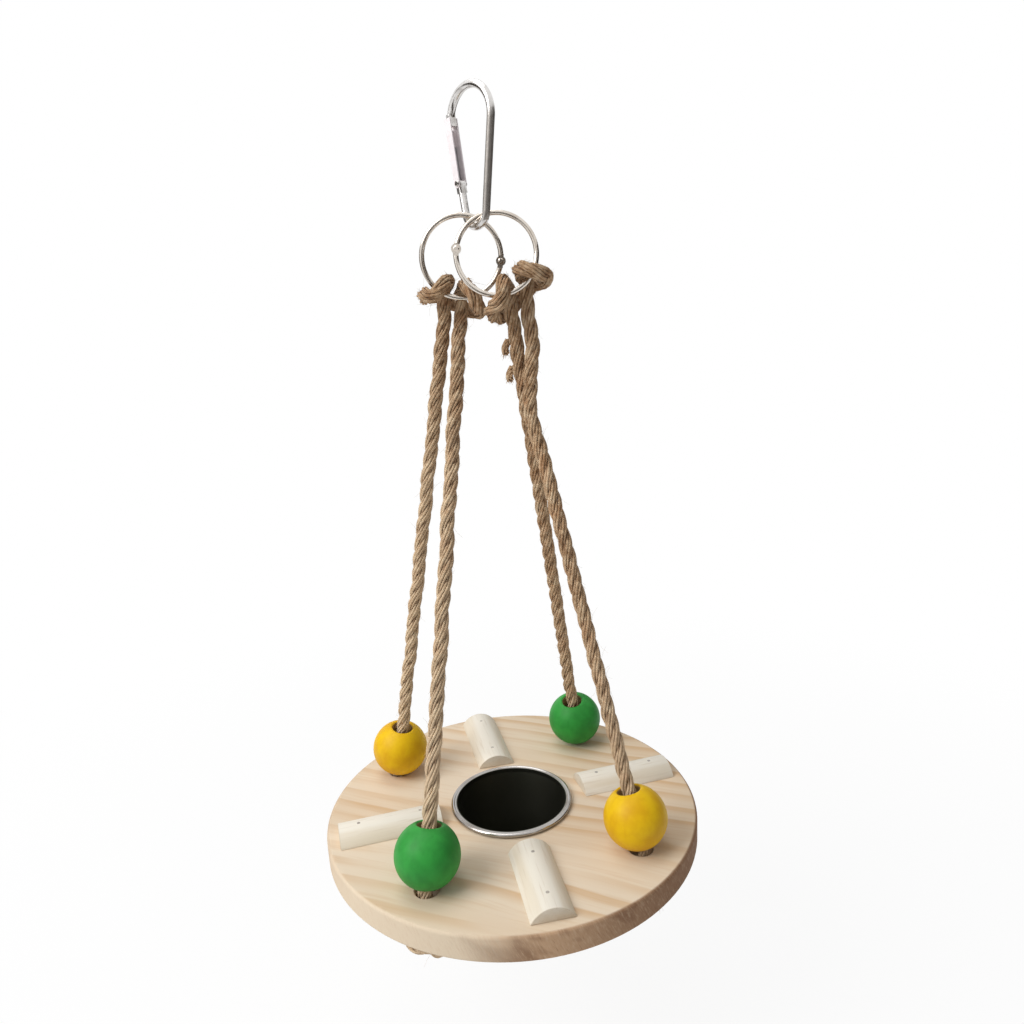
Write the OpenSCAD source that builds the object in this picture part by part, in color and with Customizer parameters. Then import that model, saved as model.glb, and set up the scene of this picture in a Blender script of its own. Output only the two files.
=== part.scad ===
// Hanging feeder swing for a small parrot.
// A round wooden tray hangs on two doubled jute ropes. Each rope is hitched to a hinged
// binder ring, and both rings hang in the narrow bow of a sprung snap hook.
// Millimetres, +Z up, origin at the hanging point: the inside top of the hook's wide bow.
// X runs to the right of the front view and Y away from it.

/* [Tray] */
// Diameter of the round board
board_d = 190; // [170:1:220]
// Thickness of the board
board_t = 13; // [9:0.5:18]
// Rounding of the board's upper and lower edges
board_edge_r = 1.6; // [0.5:0.1:3]
// Distance from a front rope hole's middle to the board's edge
rope_hole_edge = 20.5; // [14:0.5:28]
// How much nearer the middle the back rope holes are drilled
rope_hole_slip = 2; // [0:0.25:4]
// How far out of its hole's middle each rope stands
rope_seat_out = 1.5; // [0:0.1:1.6]
// Diameter of the rope holes
rope_hole_d = 11; // [9:0.5:13]
// Chamfer round the mouth of each rope hole
rope_hole_chamfer = 0.6; // [0.2:0.1:1]

/* [Perches] */
// Width of a half-round perch strip
perch_w = 20.5; // [14:0.5:24]
// Height of a perch strip above the board
perch_h = 6.5; // [5:0.5:10]
// Distance from the cup's rim to the inner ends of the left and right perches
perch_gap = 6.5; // [3:0.5:12]
// Distance from a perch's outer end to the board's edge
perch_edge = 6; // [3:0.5:10]
// Diameter of the brads through the perches
brad_d = 1; // [0.8:0.1:1.4]
// Diameter of a brad's head
brad_head_d = 1.7; // [1.5:0.1:2.6]
// Height of a brad's head
brad_head_t = 0.4; // [0.3:0.1:0.8]
// Length of a brad
brad_l = 15; // [12:0.5:17]
// Distance from a perch's end to its brad
brad_inset = 10; // [8:0.5:16]

/* [Food cup] */
// Outside diameter of the cup at the board
cup_body_d = 58.5; // [50:0.5:66]
// How far the cup's rolled rim stands out all round
cup_rim_out = 2.25; // [1.8:0.05:4]
// Thickness of the rolled rim
cup_roll_d = 2.2; // [1.8:0.1:3.5]
// Outside diameter of the cup's base
cup_base_d = 46; // [38:0.5:50]
// Depth of the cup below the board's face
cup_depth = 38; // [25:0.5:50]
// Thickness of the cup's sheet
cup_wall = 0.8; // [0.6:0.1:1.2]
// Outside radius between the cup's wall and base
cup_corner_r = 5; // [3:0.5:8]
// Play all round between the cup and its hole
cup_play = 0.5; // [0.4:0.1:1]

/* [Ropes] */
// Diameter of the jute rope
rope_d = 7; // [6:0.1:7.5]
// Drop from the rings' centres to the board's face
rope_drop = 274; // [250:1:330]
// Space between rope strands that lie side by side
strand_gap = 0.5; // [0.4:0.1:0.8]
// Space between a hitch and the ring wire that it turns on
hitch_play = 1; // [0.9:0.1:1.3]
// Length of the straight tail below a hitch
hitch_exit_l = 7; // [5:0.5:9]
// Length of the cut ends that lie beside the right ropes
tail_l = 6; // [4:0.5:14]
// Diameter of a cut end
tail_d = 3.6; // [3:0.1:5]

/* [Beads] */
// Diameter of a wooden bead
bead_d = 30; // [26:0.5:32]
// Diameter of a bead's bore
bead_bore_d = 10.8; // [9.4:0.1:12]
// Countersink at each end of the bore
bead_chamfer = 0.8; // [0.4:0.1:1.2]

/* [Rings] */
// Outside diameter of a binder ring
ring_d = 38; // [36:0.5:40]
// Diameter of the ring's wire
wire_d = 2.4; // [2.2:0.1:2.6]
// Distance of each ring's centre from the middle
ring_spread = 7.8; // [7.5:0.1:8.5]
// Space between the two rings where they cross
ring_layer_gap = 0.5; // [0.5:0.05:0.6]
// Diameter of the ring hinge's eyes
knuckle_d = 4.4; // [4:0.1:4.8]
// Thickness of the middle eye
eye_t = 0.9; // [0.7:0.05:1]
// Play on each side of the middle eye
eye_play = 0.08; // [0.05:0.01:0.12]
// Diameter of a ring's hinge pin
ring_pin_d = 1.6; // [1.4:0.05:1.8]
// Diameter of the hinge pin's riveted heads
ring_pin_head_d = 2.6; // [2.2:0.1:3]
// Height of the hinge pin's heads
ring_pin_head_t = 0.35; // [0.2:0.05:0.4]
// Diameter of the peg that closes a ring
clasp_peg_d = 1; // [0.8:0.05:1.1]
// Length of the closing peg
clasp_peg_l = 1.6; // [1.2:0.1:2]
// Play round the closing peg in its socket
clasp_play = 0.2; // [0.15:0.01:0.25]

/* [Snap hook] */
// Clear length inside the hook
hook_inner_l = 54; // [50:0.5:60]
// Diameter of the hook's rod
rod_d = 3.5; // [3.2:0.1:3.8]
// Centreline radius of the wide upper bow
top_bow_r = 13; // [12:0.25:14]
// Centreline radius of the narrow lower bow
low_bow_r = 6.75; // [6.5:0.05:7.25]
// Height from the hook's lower bow to the gate rivet
rivet_rise = 19; // [17:0.25:21]
// Turn by which the nose stops short of the wide bow's half circle
nose_turn = 12; // [4:1:18]
// Width of the folded gate across the rod
gate_w = 4.4; // [4.2:0.1:5.2]
// Thickness of the gate's sheet
gate_wall = 0.5; // [0.4:0.05:0.7]
// Distance from the rivet to the gate's outer face
gate_back = 2.2; // [2.1:0.05:3]
// Distance from the rivet to the gate's open edge
gate_front = 1.5; // [1.4:0.05:2]
// Diameter of the gate rivet
rivet_d = 1.6; // [1.4:0.05:2]
// Diameter of the rivet's heads
rivet_head_d = 2.8; // [2.4:0.1:3.4]
// Height of the rivet's heads
rivet_head_t = 0.6; // [0.4:0.05:0.8]
// Length of the nose's flattened tip
nose_tip_l = 3.4; // [3:0.1:4]
// Thickness of the gate's leaf spring
leaf_t = 0.4; // [0.3:0.05:0.5]
// Length of the gate's leaf spring
leaf_l = 14; // [10:0.5:18]

/* [Fits] */
// Gap between a resting piece and its seat
seat_gap = 0.3; // [0.2:0.05:0.4]
// Radial play of a pin in a moving eye
pin_play = 0.05; // [0.02:0.01:0.08]
// Play between close flat faces that move past each other
face_play = 0.1; // [0.05:0.01:0.15]

/* [Hidden] */

$fn = 64;
// Overrun of every cut past the face that it leaves
over = 1;

// Turns of the hook, the rope holes and the perches about Z, in degrees
hook_turn = -48;
hole_turns = [237.5, 149, 323, 55.5];
hole_slips = [0, rope_hole_slip, 0, rope_hole_slip];
perch_turns = [279.5, 101.5, 194, 14.5];
// The strips are cut by hand: the front one starts further out and the back one further in
perch_starts = [3, -2, 0, 0];
FRONT_LEFT = 0;
BACK_LEFT = 1;
FRONT_RIGHT = 2;
BACK_RIGHT = 3;

// Snap hook
rod_r = rod_d / 2;
top_bow_z = rod_r - top_bow_r;
low_bow_z = low_bow_r - rod_r - hook_inner_l;
taper = asin((top_bow_r - low_bow_r) / (top_bow_z - low_bow_z));
low_rod_z = -hook_inner_l - rod_r;
rivet_z = low_rod_z + rivet_rise;
top_leg = [-top_bow_r * cos(taper), top_bow_z - top_bow_r * sin(taper)];
rivet_x = top_leg[0] + (top_leg[1] - rivet_z) * tan(taper);
tang_t = gate_w - 2 * gate_wall - 2 * face_play;
tang_r = gate_back - gate_wall - face_play;
gate_depth = gate_back + gate_front;
gate_heel = gate_depth / 2;
// A point on the nose's end, at distance r from the wide bow's centre, seen from the rivet
function nose_at(r) =
    [-r * cos(nose_turn) - rivet_x, top_bow_z + r * sin(nose_turn) - rivet_z];
// The gate leans from the rivet to the nose's middle and stops just under the nose's inner corner
gate_lean = atan(-nose_at(top_bow_r)[0] / nose_at(top_bow_r)[1]);
nose_corner = nose_at(top_bow_r - rod_r);
gate_l = nose_corner[1] * cos(gate_lean) - nose_corner[0] * sin(gate_lean) - seat_gap;
leg_end = gate_heel + 2 * seat_gap;

// Rings
wire_r = wire_d / 2;
ring_mid_r = (ring_d - wire_d) / 2;
ring_layer = (wire_d + ring_layer_gap) / 2;
// Where the bow's rod passes through a ring's plane, seen from the ring's centre
rod_shift = ring_spread - ring_layer / tan(-hook_turn);
// How far the slanted, rising rod reaches up in that plane, as a share of its radius
rod_reach_share = 1.35;
rod_reach = rod_r * rod_reach_share + seat_gap;
ring_hang = sqrt(pow(ring_mid_r - wire_r - rod_reach, 2) - pow(rod_shift, 2));
ring_z = low_rod_z - ring_hang;
// The hitches push the rings' lower sides apart, so each ring leans about its upper crossing
ring_lean = 6.5;
ring_cross_rise = sqrt(pow(ring_mid_r, 2) - pow(ring_spread, 2));
LEFT = -1;
RIGHT = 1;
// Turn of each ring in its own plane: the hinge lies right on the left ring and left on the right one
left_ring_turn = -8;
right_ring_turn = -10;
// Angle along the wire that the hinge's eyes take
knuckle_angle = asin((knuckle_d / 2 + 2 * face_play) / ring_mid_r);
clasp_angle = asin(face_play / 2 / ring_mid_r);

// Ropes
rope_r = rope_d / 2;
rope_pitch = rope_d + strand_gap;
rope_sides = 8;
// Distance of a hitch's centreline from the ring wire's centre
wrap_r = wire_r + hitch_play + rope_r;
// Angles from a ring's bottom to the middle of its wraps and of its hanging pair
wrap_mids = [-11, 33];
pair_mids = [-19, 31];
// Half the angle between a hitch's two wraps
wrap_half = 27.5;
// Shares of a strand's pitch by which a leg passes its strand, and at which the bar turns in behind it
leg_share = 1.12;
bar_share = 0.55;
// Share of the rope's diameter by which a leg drops on its way to the bar
drop_share = 0.3;
board_z = ring_z - rope_drop;
// The front right rope hangs straight down in front of its neighbour before it leans out
front_right_turns = [[22, -1.5, -112], [19.5, -1.5, -136]];

// Board, beads and perches
board_r = board_d / 2;
cup_hole_r = cup_body_d / 2 + cup_play;
perch_r = (perch_w * perch_w / 4 + perch_h * perch_h) / (2 * perch_h);
cup_roll_r = cup_roll_d / 2;
function perch_start_r(i) = cup_body_d / 2 + cup_rim_out + perch_gap + perch_starts[i];
function perch_length(i) = board_r - perch_edge - perch_start_r(i);

wood = [0.87, 0.79, 0.66];
pale_wood = [0.88, 0.83, 0.75];
jute = [0.62, 0.53, 0.42];
nickel = [0.75, 0.73, 0.7];
silver = [0.82, 0.81, 0.82];
green = [0.17, 0.55, 0.26];
yellow = [0.9, 0.71, 0.1];
steel = [0.7, 0.71, 0.73];

// How far a straight rod runs into the bow that it is part of, and how much thinner it is drawn
weld_l = 0.4;
weld_step = 0.02;

// Vectors and smooth routes
function unit(v) = v / norm(v);
function blend_at(a, b, c, d, t) =
    (2 * b + (c - a) * t + (2 * a - 5 * b + 4 * c - d) * t * t
    + (3 * b - a - 3 * c + d) * t * t * t) / 2;
function before(p, i) = i > 0 ? p[i - 1] : 2 * p[0] - p[1];
function after(p, i) = i + 2 < len(p) ? p[i + 2] : 2 * p[i + 1] - p[i];
// A smooth route through the points p, with n steps from each to the next
function smooth(p, n) = [
    for (i = [0 : len(p) - 2]) for (k = [0 : n - 1])
        blend_at(before(p, i), p[i], p[i + 1], after(p, i), k / n),
    p[len(p) - 1]
];
function heading(p, i) = unit(p[min(i + 1, len(p) - 1)] - p[max(i - 1, 0)]);
function square_to(u, t) = unit(u - (u * t) * t);
function first_side(t) = square_to(abs(t[0]) < 0.8 ? [1, 0, 0] : [0, 1, 0], t);
// One side vector for each point, carried along the route without twist
function side_vectors(p) = [
    for (
        i = 0, u = first_side(heading(p, 0));
        i < len(p);
        i = i + 1, u = i < len(p) ? square_to(u, heading(p, i)) : u
    ) u
];
// The least gap of a tube of diameter d to itself, leaving out neighbours along it
function least_gap(p, d) = min([
    for (i = [0 : len(p) - 1]) for (j = [i + 1 : 1 : len(p) - 1])
        if (along(p, i, j) > 1.9 * d) norm(p[i] - p[j]) - d
]);
function along(p, i, j) = i >= j ? 0 : norm(p[i + 1] - p[i]) + along(p, i + 1, j);

// A tube along the points p
module tube(p, d, sides) {
    us = side_vectors(p);
    n = len(p);
    rim = [
        for (i = [0 : n - 1]) for (k = [0 : sides - 1])
            let (a = 360 * k / sides, v = cross(heading(p, i), us[i]))
                p[i] + d / 2 * (cos(a) * us[i] + sin(a) * v)
    ];
    walls = [
        for (i = [0 : n - 2]) for (k = [0 : sides - 1])
            let (a = i * sides + k, b = i * sides + (k + 1) % sides)
                each [[a, a + sides, b], [b, a + sides, b + sides]]
    ];
    first_cap = [for (k = [0 : sides - 1]) k];
    last_cap = [for (k = [sides - 1 : -1 : 0]) (n - 1) * sides + k];
    polyhedron(rim, concat(walls, [first_cap], [last_cap]), convexity = 10);
}

// Stands what is drawn along +Z at p, pointing along v
module aim(p, v) {
    translate(p)
        rotate([0, acos(v[2] / norm(v)), atan2(v[1], v[0])])
            children();
}

// Lays what is drawn in XY in the XZ plane, centred on it when it is extruded so
module stand_up() {
    rotate([90, 0, 0])
        children();
}

// Snap hook
module hook_frame() {
    rotate([0, 0, hook_turn])
        children();
}

// The frame of what stands on the rivet and leans outward
module rivet_frame(lean) {
    hook_frame()
        translate([rivet_x, 0, rivet_z])
            rotate([0, -lean, 0])
                children();
}

module gate_frame() {
    rivet_frame(gate_lean)
        children();
}

// A bent length of rod about [0, z] in the hook's plane
module bow(z, r, from, to) {
    translate([0, 0, z])
        stand_up()
            rotate([0, 0, from])
                rotate_extrude(angle = to - from)
                    translate([r, 0])
                        circle(r = rod_r);
}

// A straight length of rod from a to b, which runs on into what it meets
module straight_rod(a, b) {
    ahead = unit(b - a);
    aim(a - weld_l * ahead, ahead)
        cylinder(r = rod_r - weld_step, h = norm(b - a) + 2 * weld_l);
}

module hook_body() {
    spine_top = [-top_leg[0], 0, top_leg[1]];
    spine_low = [low_bow_r * cos(taper), 0, low_bow_z - low_bow_r * sin(taper)];
    leg_low = [-spine_low[0], 0, spine_low[2]];
    leg_rise = (rivet_z - leg_low[2]) / cos(taper) - leg_end;
    color(silver) {
        difference() {
            union() {
                hook_frame() {
                    bow(top_bow_z, top_bow_r, -taper, 180 - nose_turn);
                    straight_rod(spine_low, spine_top);
                    bow(low_bow_z, low_bow_r, -180 + taper, -taper);
                    straight_rod(leg_low, leg_low + leg_rise * [-sin(taper), 0, cos(taper)]);
                }
                rivet_frame(taper)
                    leg_tang();
                gate_frame()
                    nose_tip();
            }
            gate_frame()
                stand_up()
                    cylinder(r = rivet_d / 2, h = gate_w, center = true);
        }
    }
}

// The flattened top of the hook's short leg, which the gate turns on
module leg_tang() {
    stand_up()
        linear_extrude(tang_t, center = true)
            union() {
                circle(r = tang_r);
                translate([-tang_r, -leg_end - rod_r])
                    square([2 * tang_r, leg_end + rod_r]);
            }
}

// The flattened tip of the nose, which the closed gate straddles
module nose_tip() {
    tip_w = rod_d - 2 * gate_wall + 2 * face_play;
    stand_up()
        linear_extrude(tang_t, center = true)
            translate([-tip_w / 2, gate_l - nose_tip_l])
                square([tip_w, nose_tip_l + rod_r]);
}

module hook_gate() {
    heel_x = (gate_front - gate_back) / 2;
    inner_w = gate_w - 2 * gate_wall;
    notch_l = nose_tip_l + 2 * seat_gap;
    color(silver)
        gate_frame()
            difference() {
                stand_up()
                    linear_extrude(gate_w, center = true)
                        union() {
                            translate([heel_x, 0])
                                circle(r = gate_heel);
                            translate([-gate_back, 0])
                                square([gate_depth, gate_l]);
                        }
                translate([gate_wall - gate_back, -inner_w / 2, -gate_heel - over])
                    cube([gate_depth, inner_w, gate_l + gate_heel + 2 * over]);
                translate([-gate_back - over, -inner_w / 2, gate_l - notch_l])
                    cube([gate_depth, inner_w, notch_l + over]);
                stand_up()
                    cylinder(r = rivet_d / 2 + pin_play, h = gate_w + 2 * over, center = true);
            }
}

module gate_rivet() {
    grip = gate_w / 2 + face_play;
    color(silver)
        gate_frame()
            stand_up() {
                cylinder(r = rivet_d / 2, h = 2 * grip, center = true);
                for (s = [0, 1])
                    mirror([0, 0, s])
                        translate([0, 0, grip])
                            cylinder(r1 = rivet_head_d / 2, r2 = rivet_head_d / 3, h = rivet_head_t);
            }
}

// A leaf held in the gate's fold, whose rolled toe bears on the leg's round end
module gate_spring() {
    leaf_w = tang_t - 2 * face_play;
    leaf_x = gate_wall - gate_back + face_play / 2;
    toe_r = leaf_t;
    toe_z = tang_r + toe_r + face_play;
    color(steel)
        gate_frame()
            stand_up()
                linear_extrude(leaf_w, center = true)
                    union() {
                        translate([leaf_x, toe_z])
                            square([leaf_t, leaf_l]);
                        translate([leaf_x + toe_r, toe_z])
                            circle(r = toe_r);
                    }
}

// Rings
function ring_centre(side) =
    [side * ring_spread, -side * (ring_layer + ring_cross_rise * sin(ring_lean)), ring_z];

// The hinge lies at +X in a ring's frame, and the upper half on the +Z side
module ring_frame(side) {
    translate(ring_centre(side))
        rotate([-side * ring_lean, 0, 0])
            rotate([0, side == LEFT ? -left_ring_turn : -right_ring_turn, 0])
                mirror([side == LEFT ? 0 : 1, 0, 0])
                    children();
}

module wire_arc(from, to) {
    stand_up()
        rotate([0, 0, from])
            rotate_extrude(angle = to - from)
                translate([ring_mid_r, 0])
                    circle(r = wire_r);
}

// A hinge eye of thickness t, with a neck to the wire on the +Z or -Z side
module eye(t, up) {
    neck_w = wire_d;
    neck_l = ring_mid_r * sin(knuckle_angle) + wire_r / 2;
    translate([ring_mid_r, 0, 0])
        stand_up()
            linear_extrude(t, center = true)
                union() {
                    circle(r = knuckle_d / 2);
                    translate([-neck_w / 2 - face_play, up > 0 ? 0 : -neck_l])
                        square([neck_w, neck_l]);
                }
}

module ring_upper(side) {
    color(nickel)
        ring_frame(side)
            difference() {
                union() {
                    wire_arc(knuckle_angle, 180 - clasp_angle);
                    eye(eye_t, 1);
                    translate([-ring_mid_r, 0, -clasp_peg_l])
                        cylinder(r = clasp_peg_d / 2, h = clasp_peg_l + wire_r);
                }
                pin_hole(ring_pin_d / 2 + pin_play);
            }
}

module ring_lower(side) {
    color(nickel)
        ring_frame(side)
            difference() {
                union() {
                    wire_arc(180 + clasp_angle, 360 - knuckle_angle);
                    eye(wire_d, -1);
                }
                translate([ring_mid_r - knuckle_d, -eye_t / 2 - eye_play, -knuckle_d / 2 - face_play])
                    cube([2 * knuckle_d, eye_t + 2 * eye_play, 2 * knuckle_d]);
                translate([-ring_mid_r, 0, -clasp_peg_l - seat_gap])
                    cylinder(r = clasp_peg_d / 2 + clasp_play, h = clasp_peg_l + wire_r);
                pin_hole(ring_pin_d / 2);
            }
}

module pin_hole(r) {
    translate([ring_mid_r, 0, 0])
        stand_up()
            cylinder(r = r, h = wire_d + 2 * over, center = true);
}

module ring_pin(side) {
    color(nickel)
        ring_frame(side)
            translate([ring_mid_r, 0, 0])
                stand_up() {
                    cylinder(r = ring_pin_d / 2, h = wire_d, center = true);
                    for (s = [0, 1])
                        mirror([0, 0, s])
                            translate([0, 0, wire_r])
                                cylinder(
                                    r1 = ring_pin_head_d / 2,
                                    r2 = ring_pin_head_d / 3,
                                    h = ring_pin_head_t
                                );
                }
}

// Rope routes
// A point given from a ring's centre in the ring's own leaning frame
function in_ring(side, p) =
    let (a = -side * ring_lean)
        ring_centre(side) + [p[0], p[1] * cos(a) - p[2] * sin(a), p[1] * sin(a) + p[2] * cos(a)];
// The rope's centre, turned psi degrees round the wire at phi degrees from the ring's bottom:
// 0 lies behind the wire, 90 inside the ring, 180 in front and 270 below
function wrap(side, phi, psi) =
    let (r = ring_mid_r - wrap_r * sin(psi))
        in_ring(side, [r * sin(phi), wrap_r * cos(psi), -r * cos(phi)]);
function row_of(side) = side == LEFT ? 0 : 1;
function pair_x(side, s) = ring_mid_r * sin(pair_mids[row_of(side)]) + s * rope_pitch / 2;
function leg_x(side, s) = pair_x(side, s) + s * leg_share * rope_pitch;
function outer_phi(side, s) = asin(leg_x(side, s) / (ring_mid_r + wrap_r));
function outer_z(side, s) =
    -(ring_mid_r + wrap_r) * cos(outer_phi(side, s)) - rope_d * drop_share;
// Which rope hangs from each strand of a hitch
function hanging(side, s) =
    side == LEFT ? (s < 0 ? BACK_LEFT : FRONT_LEFT) : (s < 0 ? BACK_RIGHT : FRONT_RIGHT);
function knee(side, s) =
    in_ring(side, [pair_x(side, s), wrap_r, -ring_mid_r - rope_d]);
function on_board(r, turn) = [r * cos(turn), r * sin(turn), board_z];
function hole_place_r(i) = board_r - rope_hole_edge - hole_slips[i];
function hole_top(i) = on_board(hole_place_r(i), hole_turns[i]);
// Where a rope comes up through its hole
function rope_foot(i) = on_board(hole_place_r(i) + rope_seat_out, hole_turns[i]);
function first_aim(i) = i == FRONT_RIGHT ? front_right_turns[0] : rope_foot(i);
function hitch_exit(side, s) =
    let (k = knee(side, s))
        k + hitch_exit_l * unit(first_aim(hanging(side, s)) - k);
function between(a, b, t) = a + (b - a) * t;
// Half of a hitch: up behind the wire, over it, down in front and back under it to the bar
function hitch_half(side, s) =
    let (
        x = pair_x(side, s),
        back_phi = asin(x / ring_mid_r),
        front_phi = wrap_mids[row_of(side)] + s * wrap_half,
        low_phi = outer_phi(side, s)
    ) concat(
        [hitch_exit(side, s), knee(side, s)],
        [for (psi = [0 : 45 : 180]) wrap(side, between(back_phi, front_phi, psi / 180), psi)],
        [for (psi = [225, 270]) wrap(side, between(front_phi, low_phi, (psi - 180) / 90), psi)],
        [
            in_ring(side, [leg_x(side, s), wrap_r, outer_z(side, s)]),
            in_ring(side, [x + s * bar_share * rope_pitch, wrap_r + rope_pitch, outer_z(side, s)])
        ]
    );
function reversed(p) = [for (i = [len(p) - 1 : -1 : 0]) p[i]];
function bar_middle(side) =
    in_ring(side, [
        (pair_x(side, -1) + pair_x(side, 1)) / 2,
        wrap_r + rope_pitch,
        (outer_z(side, -1) + outer_z(side, 1)) / 2
    ]);
function hitch_route(side) =
    smooth(concat(hitch_half(side, -1), [bar_middle(side)], reversed(hitch_half(side, 1))), 2);

module hitch(side) {
    route = hitch_route(side);
    echo(str(side == LEFT ? "left" : "right", " hitch, least gap to itself: ", least_gap(route, rope_d)));
    color(jute)
        tube(route, rope_d, rope_sides);
}

// The exit that rope i hangs from
function exit_of(i) =
    i == BACK_LEFT ? hitch_exit(LEFT, -1)
    : i == FRONT_LEFT ? hitch_exit(LEFT, 1)
    : i == BACK_RIGHT ? hitch_exit(RIGHT, -1)
    : hitch_exit(RIGHT, 1);
// The last point above the board from which the rope runs straight to its hole
function last_turn(i) = i == FRONT_RIGHT ? front_right_turns[1] : exit_of(i);
function rope_lean(i) = unit(last_turn(i) - rope_foot(i));
// Shares of the straight stretch at which the route has points
run_shares = [0.12, 0.25, 0.4, 0.55, 0.7, 0.82, 0.92];
function run_route(i) =
    let (start = last_turn(i), end = rope_foot(i))
        smooth(concat(
            i == FRONT_RIGHT ? [exit_of(i), front_right_turns[0]] : [],
            [start],
            [for (t = run_shares) start + (end - start) * t],
            [end, end - [0, 0, board_t / 2], end - [0, 0, board_t]]
        ), 2);

module rope_run(i) {
    color(jute)
        tube(run_route(i), rope_d, rope_sides);
}

// Stopper knots
// The rope leaves its hole, turns up again and winds round itself
knot_turns = 1.25;
knot_steps_a_turn = 12;
knot_start = 30;
knot_pitch = rope_d + 2 * strand_gap;
function knot_low() = -rope_r - seat_gap - knot_turns * knot_pitch;
function knot_route(i) =
    let (
        c = rope_foot(i) - [0, 0, board_t],
        low = knot_low(),
        steps = knot_turns * knot_steps_a_turn
    ) smooth(concat(
        [
            c,
            c + [0, 0, low / 2],
            c + [0, 0, low],
            c + [knot_pitch / 2, 0, low - knot_pitch / 2]
        ],
        [
            for (k = [0 : steps])
                let (a = knot_start + k * 360 / knot_steps_a_turn)
                    c + [knot_pitch * cos(a), knot_pitch * sin(a), low + k * knot_pitch / knot_steps_a_turn]
        ]
    ), 2);

module knot(i) {
    if (i == FRONT_LEFT)
        echo(str("stopper knot, least gap to itself: ", least_gap(knot_route(i), rope_d)));
    color(jute)
        tube(knot_route(i), rope_d, rope_sides);
}

// Two cut ends that come round the back right rope from behind and stop at its left.
// Turns about the rope, from +X, and drops below the hitch, as shares of the rope's diameter
tail_turns = [125, 158, 190];
tail_drops = [0.85, 2.7];
function tail_route(k) =
    let (
        top = exit_of(BACK_RIGHT),
        down = unit(rope_foot(BACK_RIGHT) - top),
        r = (rope_d + tail_d) / 2 + seat_gap,
        start = top + down * tail_drops[k] * rope_d
    ) [
        for (n = [0 : 2])
            start + [r * cos(tail_turns[n]), r * sin(tail_turns[n]), 0] + down * tail_l * n / 2
    ];

module rope_tails() {
    color(jute)
        for (k = [0, 1])
            tube(smooth(tail_route(k), 2), tail_d, rope_sides);
}

module bead(i, tint) {
    lean = rope_lean(i);
    centre = rope_foot(i) + lean * (bead_d / 2 + seat_gap) / lean[2];
    bore_r = bead_bore_d / 2;
    mouth = sqrt(bead_d * bead_d / 4 - bore_r * bore_r);
    color(tint)
        aim(centre, lean)
            difference() {
                sphere(d = bead_d);
                cylinder(r = bore_r, h = bead_d + 2 * over, center = true);
                for (s = [0, 1])
                    mirror([0, 0, s])
                        translate([0, 0, mouth - bead_chamfer])
                            cylinder(r1 = bore_r, r2 = bore_r + 2 * bead_chamfer, h = 2 * bead_chamfer);
            }
}

// Tray
module board_profile() {
    steps = 4;
    r = board_edge_r;
    polygon(concat(
        [[0, 0]],
        [[0, -board_t]],
        [
            for (k = [0 : steps])
                let (a = -90 + 90 * k / steps)
                    [board_r - r + r * cos(a), r - board_t + r * sin(a)]
        ],
        [
            for (k = [0 : steps])
                let (a = 90 * k / steps)
                    [board_r - r + r * cos(a), -r + r * sin(a)]
        ]
    ));
}

module board() {
    color(wood)
        difference() {
            translate([0, 0, board_z])
                rotate_extrude($fn = 128)
                    board_profile();
            translate([0, 0, board_z - board_t - over])
                cylinder(r = cup_hole_r, h = board_t + 2 * over);
            for (i = [0 : 3])
                translate(hole_top(i))
                    rope_hole();
            brads();
        }
}

module rope_hole() {
    r = rope_hole_d / 2;
    c = rope_hole_chamfer;
    translate([0, 0, -board_t - over])
        cylinder(r = r, h = board_t + 2 * over);
    translate([0, 0, -c])
        cylinder(r1 = r, r2 = r + 2 * c, h = 2 * c);
}

// A perch's frame: its foot on the board's face, its inner end at the origin, its length along X
module perch_frame(i) {
    rotate([0, 0, perch_turns[i]])
        translate([perch_start_r(i), 0, board_z])
            children();
}

module perch(i) {
    color(pale_wood)
        difference() {
            perch_frame(i)
                intersection() {
                    translate([0, 0, perch_h - perch_r])
                        rotate([0, 90, 0])
                            cylinder(r = perch_r, h = perch_length(i), $fn = 96);
                    translate([0, -perch_r, 0])
                        cube([perch_length(i), 2 * perch_r, perch_r]);
                }
            brads();
        }
}

// All eight brads, each with its head flush with the crown of its perch
module brads() {
    for (i = [0 : 3]) for (x = [brad_inset, perch_length(i) - brad_inset])
        perch_frame(i)
            translate([x, 0, perch_h]) {
                translate([0, 0, -brad_head_t])
                    cylinder(r = brad_head_d / 2, h = brad_head_t);
                translate([0, 0, -brad_l])
                    cylinder(r = brad_d / 2, h = brad_l);
            }
}

module perch_brads() {
    color(steel)
        brads();
}

module food_cup() {
    steps = 5;
    top_r = cup_body_d / 2;
    base_r = cup_base_d / 2;
    rim_z = cup_roll_r + seat_gap;
    roll_x = top_r + cup_rim_out - cup_roll_r;
    outer = concat(
        [[0, -cup_depth]],
        [
            for (k = [0 : steps])
                let (a = -90 + 90 * k / steps)
                    [
                        base_r - cup_corner_r + cup_corner_r * cos(a),
                        cup_corner_r - cup_depth + cup_corner_r * sin(a)
                    ]
        ],
        [[top_r, 0], [top_r, rim_z]]
    );
    inner_r = cup_corner_r - cup_wall;
    inner = concat(
        [[top_r - cup_wall, rim_z], [top_r - cup_wall, 0]],
        [
            for (k = [steps : -1 : 0])
                let (a = -90 + 90 * k / steps)
                    [
                        base_r - cup_corner_r + inner_r * cos(a),
                        cup_corner_r - cup_depth + inner_r * sin(a)
                    ]
        ],
        [[0, cup_wall - cup_depth]]
    );
    color(steel)
        translate([0, 0, board_z])
            rotate_extrude($fn = 128)
                union() {
                    polygon(concat(outer, inner));
                    translate([top_r - cup_wall, rim_z])
                        square([roll_x - top_r + cup_wall, cup_wall]);
                    translate([roll_x, rim_z])
                        circle(r = cup_roll_r, $fn = 32);
                }
}

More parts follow.
